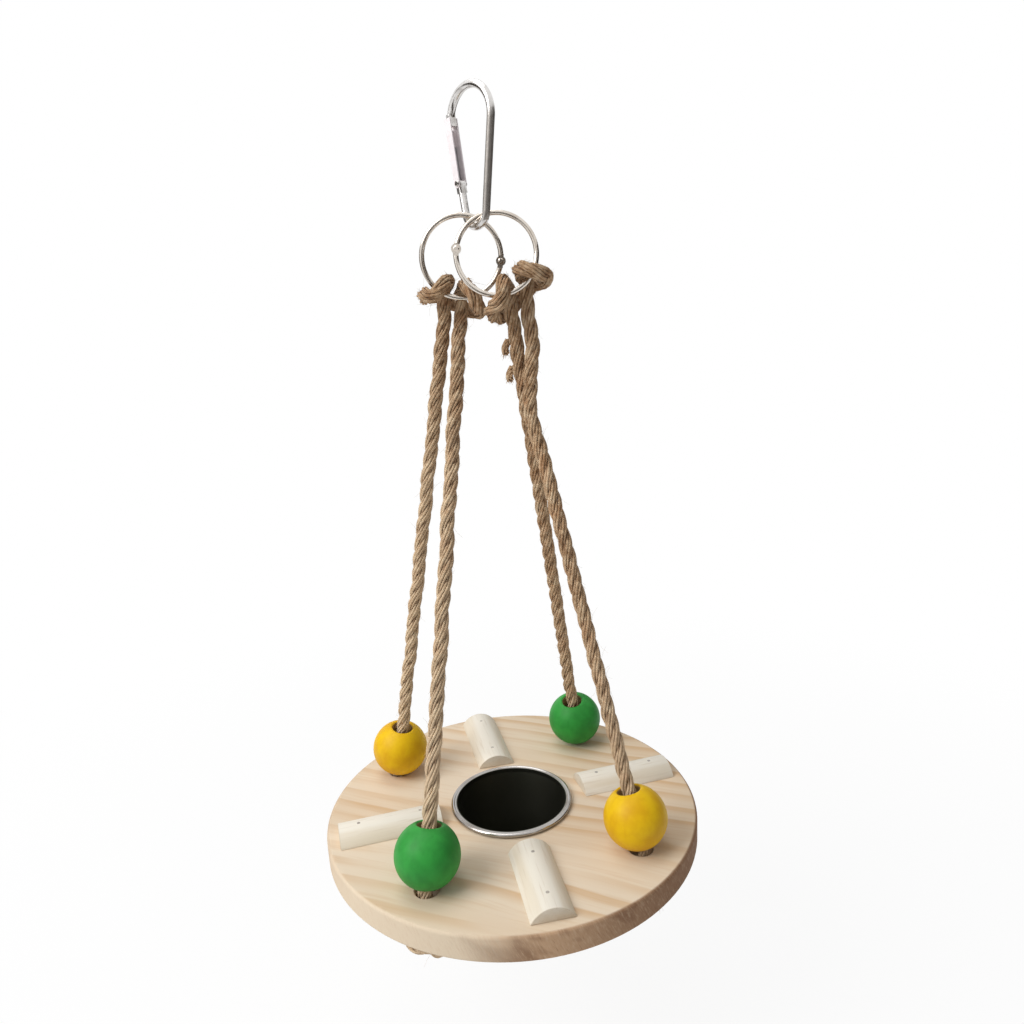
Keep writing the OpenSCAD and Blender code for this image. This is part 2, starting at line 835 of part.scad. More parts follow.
hook_body();
hook_gate();
gate_rivet();
gate_spring();
ring_upper(LEFT);  // left_ring_upper
ring_lower(LEFT);  // left_ring_lower
ring_pin(LEFT);  // left_ring_pin
ring_upper(RIGHT);  // right_ring_upper
ring_lower(RIGHT);  // right_ring_lower
ring_pin(RIGHT);  // right_ring_pin
hitch(LEFT);  // left_hitch
hitch(RIGHT);  // right_hitch
rope_tails();
rope_run(FRONT_LEFT);  // rope_front_left
rope_run(BACK_LEFT);  // rope_back_left
rope_run(FRONT_RIGHT);  // rope_front_right
rope_run(BACK_RIGHT);  // rope_back_right
knot(FRONT_LEFT);  // knot_front_left
knot(BACK_LEFT);  // knot_back_left
knot(FRONT_RIGHT);  // knot_front_right
knot(BACK_RIGHT);  // knot_back_right
bead(FRONT_LEFT, green);  // bead_front_left
bead(BACK_LEFT, yellow);  // bead_back_left
bead(FRONT_RIGHT, yellow);  // bead_front_right
bead(BACK_RIGHT, green);  // bead_back_right
board();
food_cup();
perch(0);  // perch_front
perch(1);  // perch_back
perch(2);  // perch_left
perch(3);  // perch_right
perch_brads();
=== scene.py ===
"""A hanging wooden feeder swing for a small parrot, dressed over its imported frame.

The round pine tray carries four dyed beads, four perch strips and a steel cup. Two jute
ropes, each hitched at its middle to a binder ring, hold the tray below a snap hook.
"""

import logging
import math
import random
from dataclasses import dataclass
from enum import Enum
from typing import Optional, Sequence, Union

import bmesh
import bpy
from mathutils import Matrix, Vector


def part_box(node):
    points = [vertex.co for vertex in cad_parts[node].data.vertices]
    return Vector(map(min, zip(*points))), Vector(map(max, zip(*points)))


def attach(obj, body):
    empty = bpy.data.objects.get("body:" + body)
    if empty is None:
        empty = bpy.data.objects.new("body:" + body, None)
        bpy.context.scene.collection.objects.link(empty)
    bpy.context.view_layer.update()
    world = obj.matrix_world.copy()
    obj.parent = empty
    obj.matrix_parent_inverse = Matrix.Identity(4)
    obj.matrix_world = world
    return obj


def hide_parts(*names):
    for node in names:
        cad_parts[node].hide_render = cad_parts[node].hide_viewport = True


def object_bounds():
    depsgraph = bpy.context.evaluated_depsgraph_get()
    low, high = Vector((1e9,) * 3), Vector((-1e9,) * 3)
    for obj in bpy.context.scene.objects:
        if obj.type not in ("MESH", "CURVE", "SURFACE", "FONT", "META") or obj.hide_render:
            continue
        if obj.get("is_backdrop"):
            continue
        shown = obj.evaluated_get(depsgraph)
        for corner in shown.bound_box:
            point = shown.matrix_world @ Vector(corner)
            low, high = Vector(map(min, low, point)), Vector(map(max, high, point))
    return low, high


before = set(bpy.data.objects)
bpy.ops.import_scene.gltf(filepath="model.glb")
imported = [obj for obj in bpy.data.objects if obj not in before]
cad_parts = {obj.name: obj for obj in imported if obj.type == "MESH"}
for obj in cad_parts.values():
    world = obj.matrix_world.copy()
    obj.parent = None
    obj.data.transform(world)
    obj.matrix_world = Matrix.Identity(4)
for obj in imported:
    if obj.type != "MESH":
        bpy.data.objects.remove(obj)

LOG = logging.getLogger("bird_swing")
MM = 0.001

Colour = tuple[float, float, float]
Spot = tuple[float, float, float]
Frames = Sequence[tuple[Vector, Vector, Vector]]
Line = list[tuple[Vector, float]]


class Side(Enum):
    """Which ring and rope a piece belongs to."""

    LEFT = -1
    RIGHT = 1


class Corner(Enum):
    """Where a rope goes through the board, with the hole's turn about +Z in degrees."""

    FRONT_LEFT = 237.5
    BACK_LEFT = 149.0
    FRONT_RIGHT = 323.0
    BACK_RIGHT = 55.5

    @property
    def label(self) -> str:
        """The corner's name in the frame's node names."""
        return self.name.lower()

    @property
    def side(self) -> Side:
        """The rope that goes through it."""
        return Side[self.name.split("_")[1]]

    @property
    def strand(self) -> int:
        """1 where the rope's front strand goes, and -1 where its back strand goes."""
        return 1 if self.name.startswith("FRONT") else -1

    @classmethod
    def of(cls, side: Side, strand: int) -> "Corner":
        """The corner where a rope's strand goes."""
        return cls[f"{'FRONT' if strand > 0 else 'BACK'}_{side.name}"]


class Signal:
    """A shader socket that takes part in sums and products."""

    def __init__(self, bench: "Bench", socket: bpy.types.NodeSocket) -> None:
        """Wraps an output socket.

        Args:
            bench: The bench whose node tree holds the socket.
            socket: The output socket.
        """
        self.bench = bench
        self.socket = socket

    def __add__(self, other: "Feed") -> "Signal":
        """self + other."""
        return self.bench.maths("ADD", self, other)

    def __radd__(self, other: "Feed") -> "Signal":
        """other + self."""
        return self.bench.maths("ADD", other, self)

    def __sub__(self, other: "Feed") -> "Signal":
        """self - other."""
        return self.bench.maths("SUBTRACT", self, other)

    def __rsub__(self, other: "Feed") -> "Signal":
        """other - self."""
        return self.bench.maths("SUBTRACT", other, self)

    def __mul__(self, other: "Feed") -> "Signal":
        """self times other."""
        return self.bench.maths("MULTIPLY", self, other)

    def __rmul__(self, other: "Feed") -> "Signal":
        """other times self."""
        return self.bench.maths("MULTIPLY", other, self)

    def root(self) -> "Signal":
        """The square root."""
        return self.bench.maths("SQRT", self, 0.5)

    def wave(self) -> "Signal":
        """The sine, of an angle in radians."""
        return self.bench.maths("SINE", self, 0.0)

    def step(self, low: float, high: float) -> "Signal":
        """A smooth step.

        Args:
            low: The value below which the result is 0.
            high: The value above which the result is 1.

        Returns:
            A value from 0 to 1.
        """
        node = self.bench.node(
            "ShaderNodeMapRange",
            {"interpolation_type": "SMOOTHSTEP", "clamp": True},
            {"Value": self, "From Min": low, "From Max": high},
        )
        return Signal(self.bench, node.outputs["Result"])


Feed = Union[Signal, float, int, tuple]


class Bench:
    """Builds one material, or the world, from nodes."""

    def __init__(self, name: str, world: Optional[bpy.types.World] = None) -> None:
        """Starts an empty node tree.

        Args:
            name: The new material's name.
            world: The world, where the nodes are for it and not for a material.
        """
        self.owner = world or bpy.data.materials.new(name)
        self.owner.use_nodes = True
        self.tree = self.owner.node_tree
        self.tree.nodes.clear()

    def node(self, kind: str, settings: dict, feeds: dict) -> bpy.types.Node:
        """Adds a node.

        Args:
            kind: The node's type.
            settings: Its own settings, which are set first.
            feeds: A value or a Signal for each input, by name or number.

        Returns:
            The node.
        """
        node = self.tree.nodes.new(kind)
        for key, value in settings.items():
            setattr(node, key, value)
        for key, value in feeds.items():
            socket = node.inputs[key]
            if isinstance(value, Signal):
                self.tree.links.new(value.socket, socket)
            elif isinstance(value, tuple) and len(value) == 3 and socket.type == "RGBA":
                socket.default_value = (*value, 1.0)
            else:
                socket.default_value = value
        return node

    def maths(self, operation: str, a: Feed, b: Feed) -> Signal:
        """A Math node on two values."""
        node = self.node("ShaderNodeMath", {"operation": operation}, {0: a, 1: b})
        return Signal(self, node.outputs[0])

    def place(self) -> Signal:
        """The point in the object's own coordinates, in metres."""
        node = self.node("ShaderNodeTexCoord", {}, {})
        return Signal(self, node.outputs["Object"])

    def chart(self) -> Signal:
        """The piece's own UV map: across and along."""
        node = self.node("ShaderNodeUVMap", {"uv_map": "UVMap"}, {})
        return Signal(self, node.outputs["UV"])

    def mark(self, name: str) -> Signal:
        """A number that the piece carries at each vertex."""
        node = self.node("ShaderNodeAttribute", {"attribute_name": name}, {})
        return Signal(self, node.outputs["Fac"])

    def turned(self, point: Signal, turn: float) -> Signal:
        """The point turned about +Z, by an angle in radians."""
        node = self.node("ShaderNodeMapping", {}, {"Vector": point, "Rotation": (0.0, 0.0, turn)})
        return Signal(self, node.outputs["Vector"])

    def axes(self, point: Signal) -> tuple[Signal, Signal, Signal]:
        """The point's three coordinates."""
        node = self.node("ShaderNodeSeparateXYZ", {}, {"Vector": point})
        return tuple(Signal(self, node.outputs[i]) for i in range(3))

    def joined(self, x: Feed, y: Feed, z: Feed) -> Signal:
        """A point from three coordinates."""
        node = self.node("ShaderNodeCombineXYZ", {}, {0: x, 1: y, 2: z})
        return Signal(self, node.outputs[0])

    def noise(self, point: Signal, scale: float, detail: float = 2.0, rough: float = 0.5) -> Signal:
        """Noise from 0 to 1.

        Args:
            point: Where it is read.
            scale: How many lumps there are in a unit.
            detail: How many finer octaves it has.
            rough: How strong they are.

        Returns:
            The noise.
        """
        feeds = {"Vector": point, "Scale": scale, "Detail": detail, "Roughness": rough}
        return Signal(self, self.node("ShaderNodeTexNoise", {}, feeds).outputs["Fac"])

    def grain(
        self, axes: Sequence[Feed], drawn: Sequence[float], detail: float = 2.0, rough: float = 0.5
    ) -> Signal:
        """Noise that is drawn out by its own amount along each axis.

        Args:
            axes: The point's three coordinates.
            drawn: How many lumps there are in a unit of each.
            detail: How many finer octaves it has.
            rough: How strong they are.

        Returns:
            The noise.
        """
        point = self.joined(*(axis * scale for axis, scale in zip(axes, drawn)))
        return self.noise(point, 1.0, detail, rough)

    def blend(self, share: Feed, a: Feed, b: Feed) -> Signal:
        """Colour a where the share is 0 and colour b where it is 1."""
        node = self.node("ShaderNodeMix", {"data_type": "RGBA"}, {"Factor": share, 6: a, 7: b})
        return Signal(self, node.outputs[2])

    def coats(self, base: Feed, *coats: tuple[Feed, Feed]) -> Feed:
        """A colour with others laid over it.

        Args:
            base: The colour that lies lowest.
            *coats: For each coat, in order, its share and its colour.

        Returns:
            The colour.
        """
        for share, tint in coats:
            base = self.blend(share, base, tint)
        return base

    def bump(self, height: Signal, depth: float, before: Optional[Signal] = None) -> Signal:
        """A bumped normal.

        Args:
            height: Height from 0 to 1.
            depth: How deep a height of 1 is, in metres.
            before: A bumped normal that this one goes on.

        Returns:
            The normal.
        """
        feeds = {"Height": height, "Distance": depth, "Strength": 1.0}
        if before is not None:
            feeds["Normal"] = before
        node = self.node("ShaderNodeBump", {}, feeds)
        return Signal(self, node.outputs["Normal"])

    def finish(self, **feeds: Feed) -> bpy.types.Material:
        """Ends the material with one Principled shader.

        Args:
            **feeds: Its inputs, with _ for a space in a name.

        Returns:
            The material.
        """
        named = {key.replace("_", " "): value for key, value in feeds.items()}
        shader = self.node("ShaderNodeBsdfPrincipled", {}, named)
        return self.ended(Signal(self, shader.outputs[0]))

    def ended(self, surface: Signal) -> bpy.types.Material:
        """Ends the material with any shader."""
        self.node("ShaderNodeOutputMaterial", {}, {"Surface": surface})
        return self.owner


@dataclass(frozen=True)
class Pine:
    """Plain pine board: pale, with soft tan rings along the grain and a sawn rim, with painted shade on the
    rim towards the right.
    """

    name: str = "pine_board"
    pale: Colour = (0.77, 0.645, 0.495)
    warm: Colour = (0.71, 0.545, 0.375)
    ring: Colour = (0.61, 0.39, 0.20)
    rim: Colour = (0.76, 0.63, 0.47)
    sawn: Colour = (0.57, 0.37, 0.225)
    sawn_dark: Colour = (0.22, 0.108, 0.055)
    fuzz: Colour = (0.64, 0.47, 0.32)
    grain_turn: float = math.radians(-23)
    rings_a_metre: float = 96.0
    ring_sway: float = 0.017
    board_r: float = 0.095
    rim_from: float = 0.0016
    rim_to: float = 0.0005
    saw_depth: float = 0.00009

    def material(self) -> bpy.types.Material:
        """Makes the material.

        Returns:
            The material, in Object coordinates.
        """
        bench = Bench(self.name)
        point = bench.place()
        along, across, rise = bench.axes(bench.turned(point, -self.grain_turn))
        sway = bench.grain((along, across, rise), (7.0, 14.0, 10.0))
        grown = (along, across + (sway - 0.5) * self.ring_sway, rise)
        fine = bench.grain(grown, (24.0, 480.0, 300.0), 3.0, 0.6)
        x, y, z = bench.axes(point)
        round_way = bench.maths("ARCTAN2", y, x) * self.board_r
        strokes = bench.joined(round_way * 900.0 + z * 420.0, z * 190.0, 0.0)
        saw = bench.noise(strokes, 1.0, 4.0, 0.7)
        rim = (x * x + y * y).root().step(self.board_r - self.rim_from, self.board_r - self.rim_to)
        return bench.finish(
            Base_Color=bench.blend(rim, self._face(bench, grown, fine), self._edge(bench, (x, y, z), saw)),
            Roughness=0.55 + fine * 0.14 + rim * 0.16,
            Specular_IOR_Level=0.25,
            Normal=bench.bump(fine * 0.5 + saw * rim * 2.0, self.saw_depth),
        )

    def _face(self, bench: Bench, grown: Sequence[Signal], fine: Signal) -> Feed:
        """The planed face's colour.

        Args:
            bench: The bench.
            grown: Distance along the grain, across it with the rings' sway, and height.
            fine: The fine grain.

        Returns:
            The colour.
        """
        _, bent, rise = grown
        phase = bench.maths("FRACT", bent * self.rings_a_metre + rise * 20.0, 0.0)
        late = phase.step(0.25, 0.86) * (1.0 - phase.step(0.88, 1.0))
        strong = bench.grain(grown, (10.0, 34.0, 20.0))
        wide = bench.grain(grown, (5.0, 26.0, 20.0), 1.0)
        hair = bench.grain(grown, (70.0, 1700.0, 900.0), 2.0, 0.6)
        return bench.coats(
            self.pale,
            (wide.step(0.35, 0.75) * 0.7, self.warm),
            (late * strong.step(0.34, 0.66) * 0.7, self.ring),
            (fine.step(0.46, 0.8) * 0.32, self.ring),
            (hair.step(0.5, 0.9) * 0.2, self.pale),
        )

    def _edge(self, bench: Bench, axes: Sequence[Signal], saw: Signal) -> Signal:
        """The rim's colour: light along the grain, rough and brown where its ends are cut, and darkened by
        painted shade towards the right.

        Args:
            bench: The bench.
            axes: The point's three coordinates.
            saw: The saw's fine marks.

        Returns:
            The colour.
        """
        x, y, z = axes
        slant = bench.noise(bench.joined(x * 60.0 + z * 55.0, y * 60.0 - z * 40.0, z * 30.0), 1.0, 2.0, 0.6)
        cut_end = (x * 0.93 - y * 0.22 + (slant + saw) * 0.02).step(0.012, 0.05)
        far_end = (x * -0.9 + y * 0.5).step(0.03, 0.09) * 0.4
        # Painted shade: the rim darkens towards +x, where it faces away from the key light; the pale fuzz
        # below also thins towards +x as part of that painted shade.
        painted_shade_right = (x - y * 0.3).step(0.03, 0.095) * 0.8
        rough = bench.coats(
            self.sawn,
            (bench.maths("MAXIMUM", slant.step(0.42, 0.66) * 0.75, painted_shade_right), self.sawn_dark),
            (saw.step(0.47, 0.68) * (0.55 - x.step(0.01, 0.08) * 0.3), self.fuzz),
            ((1.0 - saw.step(0.3, 0.45)) * 0.5, self.sawn_dark),
        )
        plain = bench.blend(saw.step(0.45, 0.8) * 0.3, self.rim, self.sawn)
        return bench.blend(bench.maths("MAXIMUM", cut_end, far_end), plain, rough)


@dataclass(frozen=True)
class PerchWood:
    """Pale half-round strip, with its grain along it."""

    turn: float
    name: str = "perch_wood"
    pale: Colour = (0.83, 0.775, 0.67)
    warm: Colour = (0.75, 0.665, 0.53)
    line: Colour = (0.56, 0.45, 0.32)
    grain_depth: float = 0.00006

    def material(self) -> bpy.types.Material:
        """Makes the material.

        Returns:
            The material, in Object coordinates turned along the strip.
        """
        bench = Bench(self.name)
        grown = bench.axes(bench.turned(bench.place(), -self.turn))
        wide = bench.grain(grown, (9.0, 110.0, 110.0))
        fine = bench.grain(grown, (45.0, 900.0, 900.0), 3.0, 0.65)
        end = bench.mark("sawn")
        colour = bench.coats(
            self.pale,
            (wide.step(0.42, 0.68), self.warm),
            (fine.step(0.52, 0.8) * 0.5, self.line),
            (end * 0.42, self.line),
        )
        return bench.finish(
            Base_Color=colour,
            Roughness=0.58 + fine * 0.15,
            Normal=bench.bump(fine + end * wide, self.grain_depth),
        )


@dataclass(frozen=True)
class BeadDye:
    """Glossy dye on a turned wooden bead, with raw wood inside the bore."""

    name: str
    tint: Colour
    deep: Colour
    raw: Colour = (0.34, 0.23, 0.13)
    grain_depth: float = 0.00005

    def material(self) -> bpy.types.Material:
        """Makes the material.

        Returns:
            The material, in Object coordinates and the bead's own lip mark.
        """
        bench = Bench(self.name)
        point = bench.place()
        cloud = bench.noise(point, 90.0, 3.0, 0.55)
        speck = bench.noise(point, 900.0, 2.0, 0.6)
        grain = bench.grain(bench.axes(point), (420.0, 420.0, 45.0), 2.0, 0.55)
        lip = bench.mark("bore")
        colour = bench.coats(
            self.tint,
            (cloud.step(0.35, 0.7) * 0.8, self.deep),
            (grain.step(0.5, 0.75) * 0.3, self.deep),
            (lip.step(0.5, 1.0) * 0.85, self.raw),
        )
        return bench.finish(
            Base_Color=colour,
            Roughness=0.42 + cloud * 0.12 + lip * 0.3,
            Specular_IOR_Level=0.22,
            Normal=bench.bump(grain * 0.6 + speck * 0.4, self.grain_depth),
        )


@dataclass(frozen=True)
class Jute:
    """Dry jute yarn: fawn fibres that wind round the yarn, with painted shade between the strands and painted
    light on the left rope.
    """

    name: str = "jute_yarn"
    pale: Colour = (0.73, 0.515, 0.32)
    mid: Colour = (0.49, 0.31, 0.17)
    dark: Colour = (0.19, 0.08, 0.03)
    light: Colour = (0.97, 0.78, 0.54)
    rust: Colour = (0.5, 0.235, 0.1)
    slit: Colour = (0.04, 0.014, 0.004)
    hitch_low: float = -0.17
    hitch_high: float = -0.08
    foot_low: float = -0.31
    foot_high: float = -0.2
    left_x: float = -0.03
    rope_length: float = 0.84
    fibre_pitch: float = 0.0085
    fibre_depth: float = 0.0003

    def material(self) -> bpy.types.Material:
        """Makes the material.

        Returns:
            The material, in the yarn's own UV map and depth mark and in Object coordinates.
        """
        bench = Bench(self.name)
        around, along, _ = bench.axes(bench.chart())
        point = bench.place()
        reach = along * self.rope_length
        turn = around * math.tau + reach * (math.tau / self.fibre_pitch)
        east, north = turn.wave(), (turn + math.pi / 2).wave()
        cloud = bench.noise(point, 210.0, 2.0, 0.55)
        lumps = bench.noise(point, 620.0, 2.0, 0.6)
        patch = bench.noise(point, 110.0, 2.0, 0.6)
        fibre = bench.noise(bench.joined(east * 2.4, north * 2.4, reach * 300.0 + cloud * 9.0), 1.0, 3.0, 0.7)
        fleck = bench.noise(bench.joined(east * 3.6, north * 3.6, reach * 620.0 - cloud * 9.0), 1.0, 2.0, 0.6)
        side, _, height = bench.axes(point)
        hitched = height.step(self.hitch_low, self.hitch_high)
        deep = bench.mark("deep")
        colour = bench.coats(
            self.pale,
            (lumps.step(0.38, 0.62), self.mid),
            (fibre.step(0.48, 0.7) * 0.85, self.dark),
            (fleck.step(0.55, 0.72) * 0.7, self.light),
            (cloud.step(0.52, 0.68) * 0.5, self.light),
            ((1.0 - cloud.step(0.34, 0.48)) * 0.4, self.dark),
            (patch.step(0.5, 0.7) * 0.4, self.rust),
            (hitched * 0.22, self.dark),
            ((1.0 - height.step(self.foot_low, self.foot_high)) * 0.3, self.light),
            # Painted light: the yarns left of that x, away from the hitches, are lightened as if lit from the
            # left.
            ((1.0 - side.step(self.left_x, 0.0)) * (1.0 - hitched) * 0.34, self.light),
            # Painted shade: the deep mark darkens the yarns in the gaps between the strands and deep inside
            # the rope, down to near black at the bottom of the gaps.
            (deep.step(0.2, 0.65) * 0.6, self.dark),
            (deep.step(0.5, 1.0) * 0.8, self.slit),
        )
        return bench.finish(
            Base_Color=colour,
            Roughness=0.9,
            Specular_IOR_Level=0.08,
            Sheen_Weight=0.08,
            Sheen_Roughness=0.5,
            Normal=bench.bump(fibre * 0.7 + fleck * 0.3, self.fibre_depth),
        )


@dataclass(frozen=True)
class CastZinc:
    """Plated cast or drawn metal with a soft, slightly uneven face."""

    name: str
    tint: Colour
    shade: Colour
    rough: float = 0.26
    lump: float = 0.00006
    lump_scale: float = 260.0
    metal: float = 1.0
    scuff_depth: float = 0.000008
    # The colour of the painted dark reflection on the hook's long side.
    dull_tint: Colour = (0.30, 0.275, 0.25)

    def material(self) -> bpy.types.Material:
        """Makes the material.

        Returns:
            The material, in Object coordinates.
        """
        bench = Bench(self.name)
        point = bench.place()
        axes = bench.axes(point)
        lumps = bench.noise(point, self.lump_scale)
        scuff = bench.grain(axes, (1800.0, 1800.0, 450.0), 3.0, 0.65)
        dull_and_painted_dark = self._dull(axes)
        # Painted reflection: the last coat darkens the colour where the side mask is 1, standing in for a
        # dark reflection; that mask also raises the roughness.
        colour = bench.coats(
            self.tint, (lumps.step(0.4, 0.75), self.shade), (dull_and_painted_dark * 0.9, self.dull_tint)
        )
        return bench.finish(
            Base_Color=colour,
            Metallic=self.metal,
            Roughness=self.rough + scuff * 0.14 + dull_and_painted_dark * 0.24,
            Normal=bench.bump(scuff, self.scuff_depth, bench.bump(lumps, self.lump)),
        )

    def _dull(self, axes: Sequence[Signal]) -> Feed:
        """How rough the plating is at a point, and how much painted dark reflection it carries, from 0 to 1.
        """
        return 0.0


@dataclass(frozen=True)
class HookZinc(CastZinc):
    """The hook's plating, which is rougher and carries a painted dark reflection down its long straight side.
    """

    side_from: float = 0.0025
    side_to: float = 0.0035
    bow_from: float = -0.016
    bow_to: float = -0.006
    nose_from: float = -0.0541
    nose_to: float = -0.0535

    def _dull(self, axes: Sequence[Signal]) -> Feed:
        """1 on the hook's long side and 0 on its bows.

        Args:
            axes: The point's three coordinates.

        Returns:
            The mask.
        """
        x, _, z = axes
        above_nose = z.step(self.nose_from, self.nose_to)
        below_bow = 1.0 - z.step(self.bow_from, self.bow_to)
        return x.step(self.side_from, self.side_to) * below_bow * above_nose


@dataclass(frozen=True)
class CupSteel:
    """Polished rim and outside, with a dark inside."""

    name: str = "cup_steel"
    bright: Colour = (0.45, 0.43, 0.41)
    worn: Colour = (0.3, 0.27, 0.245)
    dark: Colour = (0.075, 0.075, 0.058)
    board_z: float = -0.342
    mouth_r: float = 0.02925
    base_r: float = 0.023
    depth: float = 0.038
    corner_r: float = 0.005
    wall: float = 0.0008
    edge: float = 0.00005
    brush_depth: float = 0.000003

    def material(self) -> bpy.types.Material:
        """Makes the material.

        Returns:
            The material, in Object coordinates.
        """
        bench = Bench(self.name)
        point = bench.place()
        x, y, z = bench.axes(point)
        reach = (x * x + y * y).root()
        brush = bench.grain((reach, z, x), (3000.0, 3000.0, 2.0))
        wear = bench.noise(point, 55.0)
        inside = self._inside(bench, reach, z - self.board_z)
        return bench.finish(
            Base_Color=bench.coats(
                self.bright, (wear.step(0.45, 0.75), self.worn), (inside, self.dark)
            ),
            Metallic=1.0,
            Roughness=0.17 + wear * 0.08 + inside * 0.22,
            Normal=bench.bump(brush, self.brush_depth),
        )

    def _inside(self, bench: Bench, reach: Signal, height: Signal) -> Signal:
        """1 on the cup's inner wall and floor, and 0 on its rim and outside.

        Args:
            bench: The bench.
            reach: Distance from the cup's axis.
            height: Height above the board's face.

        Returns:
            The mask, which changes in the middle of the sheet.
        """
        half = self.wall / 2
        corner_z = self.corner_r - self.depth
        flare = (self.mouth_r - self.base_r) / -corner_z
        slope = (self.mouth_r - half) + bench.maths("MINIMUM", height, 0.0) * flare
        drop = bench.maths("MINIMUM", height - corner_z, 0.0)
        bend_r = self.corner_r - half
        chord = bench.maths("MAXIMUM", bend_r * bend_r - drop * drop, 0.0).root()
        bend = chord + (self.base_r - self.corner_r)
        is_low = 1.0 - (height - corner_z).step(-self.edge, self.edge)
        middle = slope + (bend - slope) * is_low
        above_floor = (height - (half - self.depth)).step(-self.edge, self.edge)
        return (middle - reach).step(-self.edge, self.edge) * above_floor


def fold_in(mesh: bmesh.types.BMesh, name: str) -> bpy.types.Mesh:
    """Turns a finished bmesh into a mesh with its faces outwards, and frees it.

    Args:
        mesh: The bmesh.
        name: The mesh's name.

    Returns:
        The mesh.
    """
    bmesh.ops.recalc_face_normals(mesh, faces=mesh.faces)
    made = bpy.data.meshes.new(name)
    mesh.to_mesh(made)
    mesh.free()
    return made


def placed(mesh: bpy.types.Mesh, finish: bpy.types.Material) -> bpy.types.Object:
    """Puts a mesh in the scene, under its own name.

    Args:
        mesh: The mesh, already in place.
        finish: Its material.

    Returns:
        The object.
    """
    mesh.materials.clear()
    mesh.materials.append(finish)
    made = bpy.data.objects.new(mesh.name, mesh)
    bpy.context.scene.collection.objects.link(made)
    return made


def stand(
    mesh: bpy.types.Mesh, body: str, slot: str, finish: bpy.types.Material, *nodes: str
) -> bpy.types.Object:
    """Puts a mesh in the scene as a piece of the object.

    Args:
        mesh: Its mesh, already in place.
        body: The frame's body that it moves with.
        slot: Not used.
        finish: Its material.
        *nodes: The frame's nodes that it stands for.

    Returns:
        The piece.
    """
    piece = placed(mesh, finish)
    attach(piece, body)
    if nodes:
        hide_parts(*nodes)
    LOG.info("%s: %d faces, rides on %s", mesh.name, len(mesh.polygons), body)
    return piece


def dress(finish: bpy.types.Material, *nodes: str) -> None:
    """Gives a finish to nodes of the frame.

    Args:
        finish: The material.
        *nodes: The nodes' names.
    """
    for node in nodes:
        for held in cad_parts[node].material_slots:
            held.material = finish
        LOG.info("%s: %s", node, finish.name)


@dataclass
class Viewpoint:
    """The camera, at the photograph's place."""

    focus_px: float = 797.0
    frame_px: float = 1024.0
    sensor_mm: float = 36.0
    back: float = 0.37212
    above_board: float = 0.24416
    pitch: float = -0.23277
    yaw: float = 0.02301
    roll: float = -0.05498

    def build(self, board_z: float) -> None:
        """Makes the camera and gives it to the scene.

        Args:
            board_z: Height of the board's face.
        """
        ahead = Vector((
            math.sin(self.yaw) * math.cos(self.pitch),
            math.cos(self.yaw) * math.cos(self.pitch),
            math.sin(self.pitch),
        ))
        right = ahead.cross(Vector((0.0, 0.0, 1.0))).normalized()
        up = right.cross(ahead)
        tilted_right = right * math.cos(self.roll) + up * math.sin(self.roll)
        tilted_up = up * math.cos(self.roll) - right * math.sin(self.roll)
        data = bpy.data.cameras.new("viewpoint")
        data.sensor_width = self.sensor_mm
        data.lens = self.focus_px * self.sensor_mm / self.frame_px
        data.clip_start = 0.01
        camera = bpy.data.objects.new("viewpoint", data)
        turn = Matrix((tilted_right, tilted_up, -ahead)).transposed().to_4x4()
        camera.matrix_world = Matrix.Translation((0.0, -self.back, board_z + self.above_board)) @ turn
        bpy.context.scene.collection.objects.link(camera)
        bpy.context.scene.camera = camera


